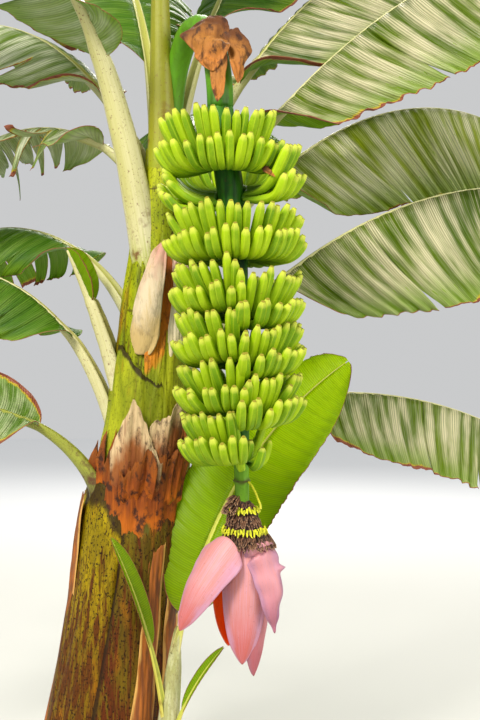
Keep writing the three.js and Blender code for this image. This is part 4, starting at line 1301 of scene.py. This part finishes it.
# directions and heights of both ends, fingers in a row, reach, tips in front and behind, at the far
# end as a share, rise in the middle, lean
hand_table = [
    (-186, -20, 1892, 1892, 15, 172, 134, 134, 1, 0, 1),
    (-46, 210, 1802, 1776, 23, 206, 128, 118, 0.6, 48, 1),
    (-154, 196, 1648, 1650, 31, 200, 122, 90, 0.9, 0, 1),
    (-91, 275, 1455, 1511, 32, 190, 119, 112, 0.92, 0, 1),
    (-91, 275, 1318, 1373, 32, 187, 114, 110, 1, 0, 1),
    (-91, 275, 1182, 1236, 31, 183, 113, 110, 1, 0, 1),
    (56, 276, 1064, 1094, 17, 177, 114, 108, 1, 0, 1),
    (-98, -50, 1074, 1070, 1, 100, 54, 54, 1, 0, 0.4),
]


def crowd(az):
    return np.radians(az) + FRONT_CROWDING * np.sin(np.radians(az) + math.pi / 2)


def hand_paths(number):
    """Curved lines of all fingers of a hand."""
    az0, az1, z0, z1, count, reach, tip_front, tip_back, tip_end, rise, lean = hand_table[number]
    rng = np.random.default_rng(200 + number)
    columns = 2 * count + 1
    fine = np.linspace(az0 - 20, az1 + 20, 2000)
    paths = []
    for k in range(columns):
        bend_in, tip_in, foot_up, bend_up, tip_share = (LOWER_ROW, UPPER_ROW)[k % 2]
        share = (k + 0.5) / columns
        az = np.interp(mix(crowd(az0), crowd(az1), share), crowd(fine), fine) + rng.normal(0, 1.3)
        turn = math.radians(az)
        z = (mix(z0, z1, share) + rise * math.sin(math.pi * share)) / 1000
        back = (1 - math.cos(turn + math.pi / 2)) / 2
        tip = mix(tip_front, tip_back, back) * mix(1, tip_end, (k / columns) ** 2) / 1000
        tip = tip * tip_share + rng.normal(0, 0.007)
        out = np.array([math.cos(turn), math.sin(turn), 0])
        far = reach / 1000 + (LEFT_REACH * max(0, -math.cos(turn)) if number == 0 else 0)
        tip_out = far - tip_in + rng.normal(0, 0.003)
        x, y, r = axis_at(z)
        middle = np.array([x, y, z])
        a = middle + out * (r + 0.010) + (0, 0, foot_up)
        c = middle + out * (far - lean * bend_in) + (0, 0, bend_up)
        d = middle + out * tip_out + (0, 0, tip)
        d = d + np.array([-math.sin(turn), math.cos(turn), 0]) * rng.normal(0, 0.005)
        path, _ = bezier([a, a + (c - a) * 1.15, d + (c - d) * 0.75, d], np.linspace(0, 1, PATH_STEPS))
        paths.append(path)
    return np.array(paths)


for number in range(len(hand_table)):
    paths = hand_paths(number)
    rng = np.random.default_rng(500 + number)
    steps = np.cumsum(np.linalg.norm(np.diff(paths, axis=1), axis=2), 1)
    along = np.concatenate([np.zeros((len(paths), 1)), steps / steps[:, -1:]], 1)
    width = np.interp(along, SWELL_AT, SWELL) * FINGER_RADIUS * rng.uniform(0.95, 1.05, (len(paths), 1))
    tones = rng.uniform(0, 1, len(paths))
    hand = make_rods(f"fingers_{number + 1}", paths, width, along, tones, fruit_skin, *FINGER_FORM)
    finish_piece(hand, "fruit", f"hands_{number + 1}")

# %% [markdown]
# The cushion of each hand is a thick ridge on the stalk from which the fingers grow.

# %% Cushions
bag = Bag()
around = circle(14)
for number, (az0, az1, z0, z1, count, *_, rise, lean) in enumerate(hand_table):
    share = np.linspace(0, 1, 6 * count + 6)[:, None]
    level = (mix(z0, z1, share) + rise * np.sin(math.pi * share)) / 1000
    x, y, r = axis_at(level)
    ends = np.clip(np.minimum(share, 1 - share) * 18, 0.15, 1) ** 0.5
    bumps = 0.001 * waves(share * 90, around, number, 2)
    out = r + 0.003 + 0.012 * ends * (0.6 + 0.75 * np.cos(around)) + bumps
    z = level + 0.014 * ends * np.sin(around)
    put_tube(bag, turned(x, y, out, z, np.radians(mix(az0, az1, share))))
cushion_skin = stalk_skin("cushion_skin", (0.20, 0.38, 0.02), (0.34, 0.54, 0.05))
finish_piece(bag.make("cushions", [cushion_skin], "scar"), "fruit_stalk")

# %% [markdown]
# Above the bud hang the withered flowers of the last hands, dark brown and ragged, with two rows of
# fresh yellow-green stubs between them. Geometry Nodes again sweep a small outline along short
# lines that start on the stalk and bend outward and down.

# %% Withered flowers
def ragged_material(name, dark, light, end_tone):
    skin = Skin(name)
    grain = skin.noise(150, 4.0, 0.7)
    skin.tone = skin.mix(skin.ramp(grain + skin.value("tone") * 0.25, 0.45, 0.8), dark, light)
    skin.paint(end_tone, skin.value("along"), 0.6, 1.0, 0.8)
    return skin.finish(0.7, grain, 0.8, 0.002)


withered_skin = ragged_material("withered_flower", (0.16, 0.08, 0.05), (0.48, 0.32, 0.21), (0.70, 0.54, 0.40))
stub_skin = ragged_material("yellow_stub", (0.66, 0.68, 0.04), (0.88, 0.86, 0.10), (0.92, 0.90, 0.30))
# height, middle and radius of the withered part
REMAINS = np.array([(955, 457, 24), (940, 457, 34), (915, 458, 44), (895, 459, 50), (876, 461, 54),
                    (858, 464, 60), (848, 468, 76), (828, 470, 84)]) / 1000
STEPS = 6
TAPER_AT, TUFT_TAPER = [0, 0.3, 0.7, 0.9, 1], [0.9, 1.0, 0.8, 0.6, 0.25]


def remains_at(z, column):
    return np.interp(-z, -REMAINS[:, 0], REMAINS[:, column])


def tuft(rows, seed, length, thick, inset, outward, droop, ends=(0, 360)):
    """Short lines round the stalk at the given heights, which run outward and down to the surface."""
    rng = np.random.default_rng(seed)
    t = np.linspace(0, 1, STEPS)
    lines, widths, tones = [], [], []
    for level, count in rows:
        for k in range(count):
            z = level + rng.normal(0, 0.002)
            turn = math.radians(mix(*ends, (k + rng.uniform(-0.3, 0.3)) / count))
            out = np.array([math.cos(turn), math.sin(turn)])
            size = length * rng.uniform(0.7, 1.25)
            go = remains_at(z, 2) - inset + rng.uniform(-0.004, 0.002) - outward * size * (1 - t)
            sway = np.array([-out[1], out[0]]) * (rng.normal(0, 0.22) * size * t ** 2)[:, None]
            xy = (remains_at(z, 1), BUNCH_Y) + out[None] * go[:, None] + sway
            zz = z + droop * size * (0.5 - t * rng.uniform(0.8, 1.1))
            lines.append(np.concatenate([xy, zz[:, None]], 1))
            widths.append(thick * np.interp(t, TAPER_AT, TUFT_TAPER) * rng.uniform(0.7, 1.25))
            tones.append(rng.uniform())
    return lines, widths, tones


def make_tufts(name, parts, material, ridge, *nodes):
    lines, widths, tones = (sum((part[i] for part in parts), []) for i in range(3))
    along = np.tile(np.linspace(0, 1, STEPS), (len(lines), 1))
    lines, widths, tones = np.array(lines), np.array(widths), np.array(tones)
    piece = make_rods(name, lines, widths, along, tones, material, 6, 3.0, ridge)
    finish_piece(piece, "withered_flower", *nodes)


brown_rows = [(0.944, 24), (0.938, 28), (0.914, 34), (0.907, 36), (0.900, 38), (0.893, 40), (0.886, 40),
              (0.858, 44), (0.852, 50), (0.846, 54), (0.840, 58), (0.834, 60), (0.829, 60)]
clump_rows = [(0.962, 9), (0.954, 12), (0.944, 14), (0.934, 14), (0.925, 12)]
brown = [tuft(brown_rows, 7, 0.021, 0.0022, -0.001, 0.55, 0.8),
         tuft(clump_rows, 9, 0.024, 0.0030, -0.022, 0.9, 0.5, (160, 255))]
make_tufts("withered_flowers", brown, withered_skin, 0.25, "flower_remains")
yellow_rows = [(0.930, 34), (0.925, 34), (0.873, 44), (0.868, 44)]
strand = np.array([(474, -314, 1008), (484, -322, 996), (493, -328, 980), (500, -331, 962),
                   (506, -330, 948), (508, -324, 934)]) / 1000
yellow = [tuft(yellow_rows, 8, 0.015, 0.0031, -0.009, 0.35, 0.9), ([strand], [np.full(STEPS, 0.0032)], [0.5])]
make_tufts("yellow_stubs", yellow, stub_skin, 0.10)

z = np.linspace(0.954, 0.833, 40)[:, None]
turn = circle(24)
r = remains_at(z, 2) * 0.82 + 0.002 * waves(z * 80, turn * 3, 3, 3)
finish_tube("withered_core", turned(remains_at(z, 1), BUNCH_Y, r, z, turn), withered_skin, "along",
            "withered_flower")

# %% [markdown]
# The male bud is a spindle of tightly wrapped bracts. Outer ones have lifted: they are smooth and
# pink with a violet bloom outside and orange red inside. A bract is a sheet wrapped round its
# length between two points and bulged outward, with fine veins along it.

# %% Bud materials
def bract_material(name, rose, tip_tone, bloom, amount=0.6, through=0.0):
    """through is the share of light that the bract lets pass."""
    skin = Skin(name)
    place = skin.map()
    down, off, _ = skin.split(place)
    lines = skin.noise(1.0, 4.0, 0.7, (1.6, 44, 1), place)
    cloud = skin.noise(22)
    skin.tone = skin.mix(skin.ramp(down + cloud * 0.3, 0.55, 1.1), rose, tip_tone)
    skin.paint(bloom, abs(off - 0.5) + (cloud - 0.5) * 0.5, 0.22, 0.50, amount)
    skin.paint(bloom, lines, 0.42, 0.70, 0.55)
    skin.paint(tip_tone, lines, 0.52, 0.36, 0.30)
    skin.paint((0.45, 0.22, 0.24), skin.noise(140, 3.0, 0.7), 0.63, 0.68, 0.25)
    return skin.finish(0.52, lines, 0.25, 0.0015, through=through)


bract_tones = {
    "bract_outside": ((0.80, 0.53, 0.51), (0.78, 0.37, 0.34), (0.77, 0.58, 0.69), 0.8),
    # folded and low: darker tones, painted as shade
    "bract_folded": ((0.80, 0.53, 0.54), (0.70, 0.40, 0.47), (0.64, 0.47, 0.58), 0.8),
    "bract_low": ((0.78, 0.48, 0.48), (0.68, 0.33, 0.36), (0.66, 0.45, 0.52)),
    "bract_thin": ((1.0, 0.74, 0.62), (1.0, 0.62, 0.46), (0.96, 0.72, 0.66), 0.4, 0.9),
    "bract_inside": ((1.0, 0.46, 0.18), (1.0, 0.40, 0.12), (1.0, 0.44, 0.18), 0.2, 0.7),
}
bract_skins = {name: bract_material(name, *tones) for name, tones in bract_tones.items()}
print("bract finishes:", ", ".join(bract_skins))

# %% [markdown]
# A bract, a rolled sheath and a dry scale leaf have one form in common: a spoon. It is a grid whose
# rows lie on arcs, and the arcs grow and shrink along a bulged line between two points.

# %% Curved sheets
def put_spoon(bag, start, end, out, width, bulge, wrap, seed, thickness, rows, columns, crumple, curl,
              narrow, under=0, fold=0.0, hook=0.0, shoulder=0.35, arch=0.012):
    """A sheet between two points, wrapped round its length and bulged outward."""
    start, end = np.array(start) / 1000, np.array(end) / 1000
    axis = unit(end - start)
    n = unit(np.array(out, float) - axis * np.dot(out, axis))
    side = np.cross(axis, n)
    s = np.linspace(0, 1, rows)[:, None]
    k = np.linspace(-1, 1, columns)[None]
    line = start + (end - start) * s[..., None] + n * (bulge / 1000 * 4 * s * (1 - s))[..., None]
    w = width / 1000 * np.clip((s + 0.06) / 0.26, 0, 1) ** shoulder
    w = w * np.clip(1 - s ** narrow, 0.0005, 1) ** 0.72
    half = math.radians(wrap) / 2
    radius = w / math.sin(min(half, math.pi / 2))
    creases = 0.0005 * np.sin(k * 55 + 2 * waves(s * 3, k, seed, 2)) * smooth((1 - s) / 0.2)
    rough = crumple * waves(s * 7, k * 2.2, seed + 1, 3) + 0.0015 * waves(s * 5, k * 2, seed + 2, 3)
    lip = curl * smooth((np.abs(k) - 0.8) / 0.2) * (0.6 + 0.4 * waves(s * 6, k, seed + 3, 2))
    pleat = 0.5 * np.exp(-((s - 0.03) / 0.03) ** 2) - np.exp(-((s - 0.10 - 0.05 * k) / 0.022) ** 2)
    horn = hook * np.exp(-np.abs((s - 0.31) / 0.030) ** 1.3) * smooth((-k - 0.62) / 0.38)
    r = radius + creases + (rough + lip + fold * pleat) * smooth((1 - s) / 0.15) + horn
    points = (line + side * (r * np.sin(half * k))[..., None]
              + n * (r * np.cos(half * k) - radius)[..., None]
              + axis * (arch * k * k * (1 - s) ** 4)[..., None])
    uv = np.stack(np.broadcast_arrays(s, k / 2 + 0.5), -1)
    up = np.broadcast_to(n, points.shape)
    put_sheet(bag, points, thickness, up, uv, np.broadcast_to(np.abs(k), uv.shape[:2]), under)


print("spoon helper ready")

# %% [markdown]
# Five bracts stand round a closed heart. The right one is folded at its neck and has a small horn.
# Each is pink outside and orange red inside. The one at the back has a pale finish that lets much
# light through, and the folded right one and the low one have darker tones, painted as shade.

# %% Bud
# finish, from, to, outward, half width, bulge, wrap, crumple, narrowing towards the tip, own measures
BRACTS = {
    "front": ("outside", (466, -346, 852), (456, -334, 503), (0, -1, 0), 64, 30, 124, 0.001, 2.7, {}),
    "left": ("outside", (420, -361, 857), (284, -368, 606), (-0.5, -0.8, 0.3), 68, 32, 112, 0.0015, 1.9,
             dict(shoulder=0.12, arch=0.045)),
    "right": ("folded", (506, -355, 846), (546, -350, 594), (0.35, -0.95, 0), 62, 24, 112, 0.006, 0.70,
              dict(fold=0.012, hook=0.022)),
    "low": ("low", (496, -318, 840), (488, -312, 464), (0.6, -0.75, 0), 56, 26, 120, 0.001, 2.4, {}),
    "back": ("thin", (430, -285, 840), (418, -302, 545), (-0.35, 0.95, 0), 58, 26, 90, 0.001, 2.6, {}),
}
for number, (name, (finish, *form, crumple, narrow, own)) in enumerate(BRACTS.items()):
    bag = Bag()
    put_spoon(bag, *form, 90 + number, 0.004, 56, 36, crumple, 0.004, narrow, 1, **own)
    skins = [bract_skins["bract_" + finish], bract_skins["bract_inside"]]
    finish_piece(bag.make(f"bud_bract_{name}_skin", skins), "bud", "bud_bract_" + name)

# height and radius of the closed bracts inside
HEART = np.array([(850, 30), (800, 34), (730, 36), (660, 34),
                  (590, 25), (530, 10), (512, 5), (505, 1)]) / 1000
z = np.linspace(0.850, 0.505, 60)[:, None]
turn = circle(40)
r = np.interp(-z, -HEART[:, 0], HEART[:, 1]) + 0.0008 * waves(z * 12, turn * 2, 9, 3)
uv = np.stack(np.broadcast_arrays((0.85 - z) / 0.35, turn / (2 * math.pi)), -1)
rings = turned(0.474 - 0.03 * (0.834 - z), BUNCH_Y, r, z, turn)
finish_tube("bud_heart", rings, bract_skins["bract_outside"], "dry", "bud", "bud_core", uv=uv)

# %% [markdown]
# Two more dead parts have kept their form. On the stem stands a rolled cream spear that points up
# and to the right. From the arch of the fruit stalk hangs a dry scale leaf, crumpled and orange brown.

# %% Cream spear and dry scale leaf
# from, to, outward, half width, bulge, wrap, seed, thickness, rows, columns, crumple, curl, narrowing
dry_parts = {
    "cream_spear": ("papery_spear", "dry_sheath", "dry_sheath_high_1", [
        ((130, -94, 1370), (226, -160, 1706), (-0.45, -0.85, 0.1), 58, 16, 120, 130,
         0.003, 80, 44, 0.002, 0.012, 1.6),
    ]),
    "dry_flag_paper": ("papery_flag", "dry_leaf", "dry_flag", [
        ((352, -246, 2345), (376, -352, 2150), (-0.2, -0.9, 0.4), 66, 20, 100, 120,
         0.002, 60, 44, 0.014, 0.008, 2.0),
        ((386, -318, 2235), (388, -372, 2060), (0.1, -1, 0.2), 22, 6, 90, 121,
         0.002, 50, 20, 0.006, 0.004, 3.0),
        ((440, -262, 2300), (444, -338, 2120), (0.5, -0.8, 0.3), 40, 12, 90, 122,
         0.002, 50, 30, 0.010, 0.006, 1.6),
        ((508, -386, 1880), (546, -412, 1846), (0.2, -1, 0.3), 9, 3, 90, 123,
         0.001, 16, 10, 0.003, 0.002, 2.0),
    ]),
}
for name, (finish, slot, node, sheets) in dry_parts.items():
    bag = Bag()
    for sheet in sheets:
        put_spoon(bag, *sheet)
    finish_piece(bag.make(name, [papery[finish]], "crease"), slot, node)

# %% [markdown]
# At the foot grows a young side shoot: a short stem of pale sheaths with three leaves.

# %% Side shoot
# height, middle in x and y, and radius
SHOOT = np.array([(0, 204, -136, 58), (120, 222, -147, 40), (300, 238, -138, 32), (420, 250, -125, 26),
                  (480, 255, -119, 19), (500, 256, -118, 13)]) / 1000
shoot_skin = bark_material("shoot_skin", ((0.66, 0.68, 0.42), (0.84, 0.83, 0.68), (0.58, 0.52, 0.28)), 0.3,
                           earth=0.0, speck=(0.4, 0.32, 0.15))
z = np.linspace(0, 0.5, 70)[:, None]
turn = circle(36)
x, y, r = (np.interp(z, SHOOT[:, 0], SHOOT[:, k]) for k in (1, 2, 3))
r = r - 0.001 + 0.0006 * np.sin(turn * 14) + 0.001 * waves(z * 10, turn, 6, 2)
slope = 0.05 * (z / 0.5) ** 8 * np.cos(turn - 1.2)
finish_tube("shoot_stem_skin", turned(x, y, r, z + slope, turn), shoot_skin, "crease", "stem", "shoot_stem")
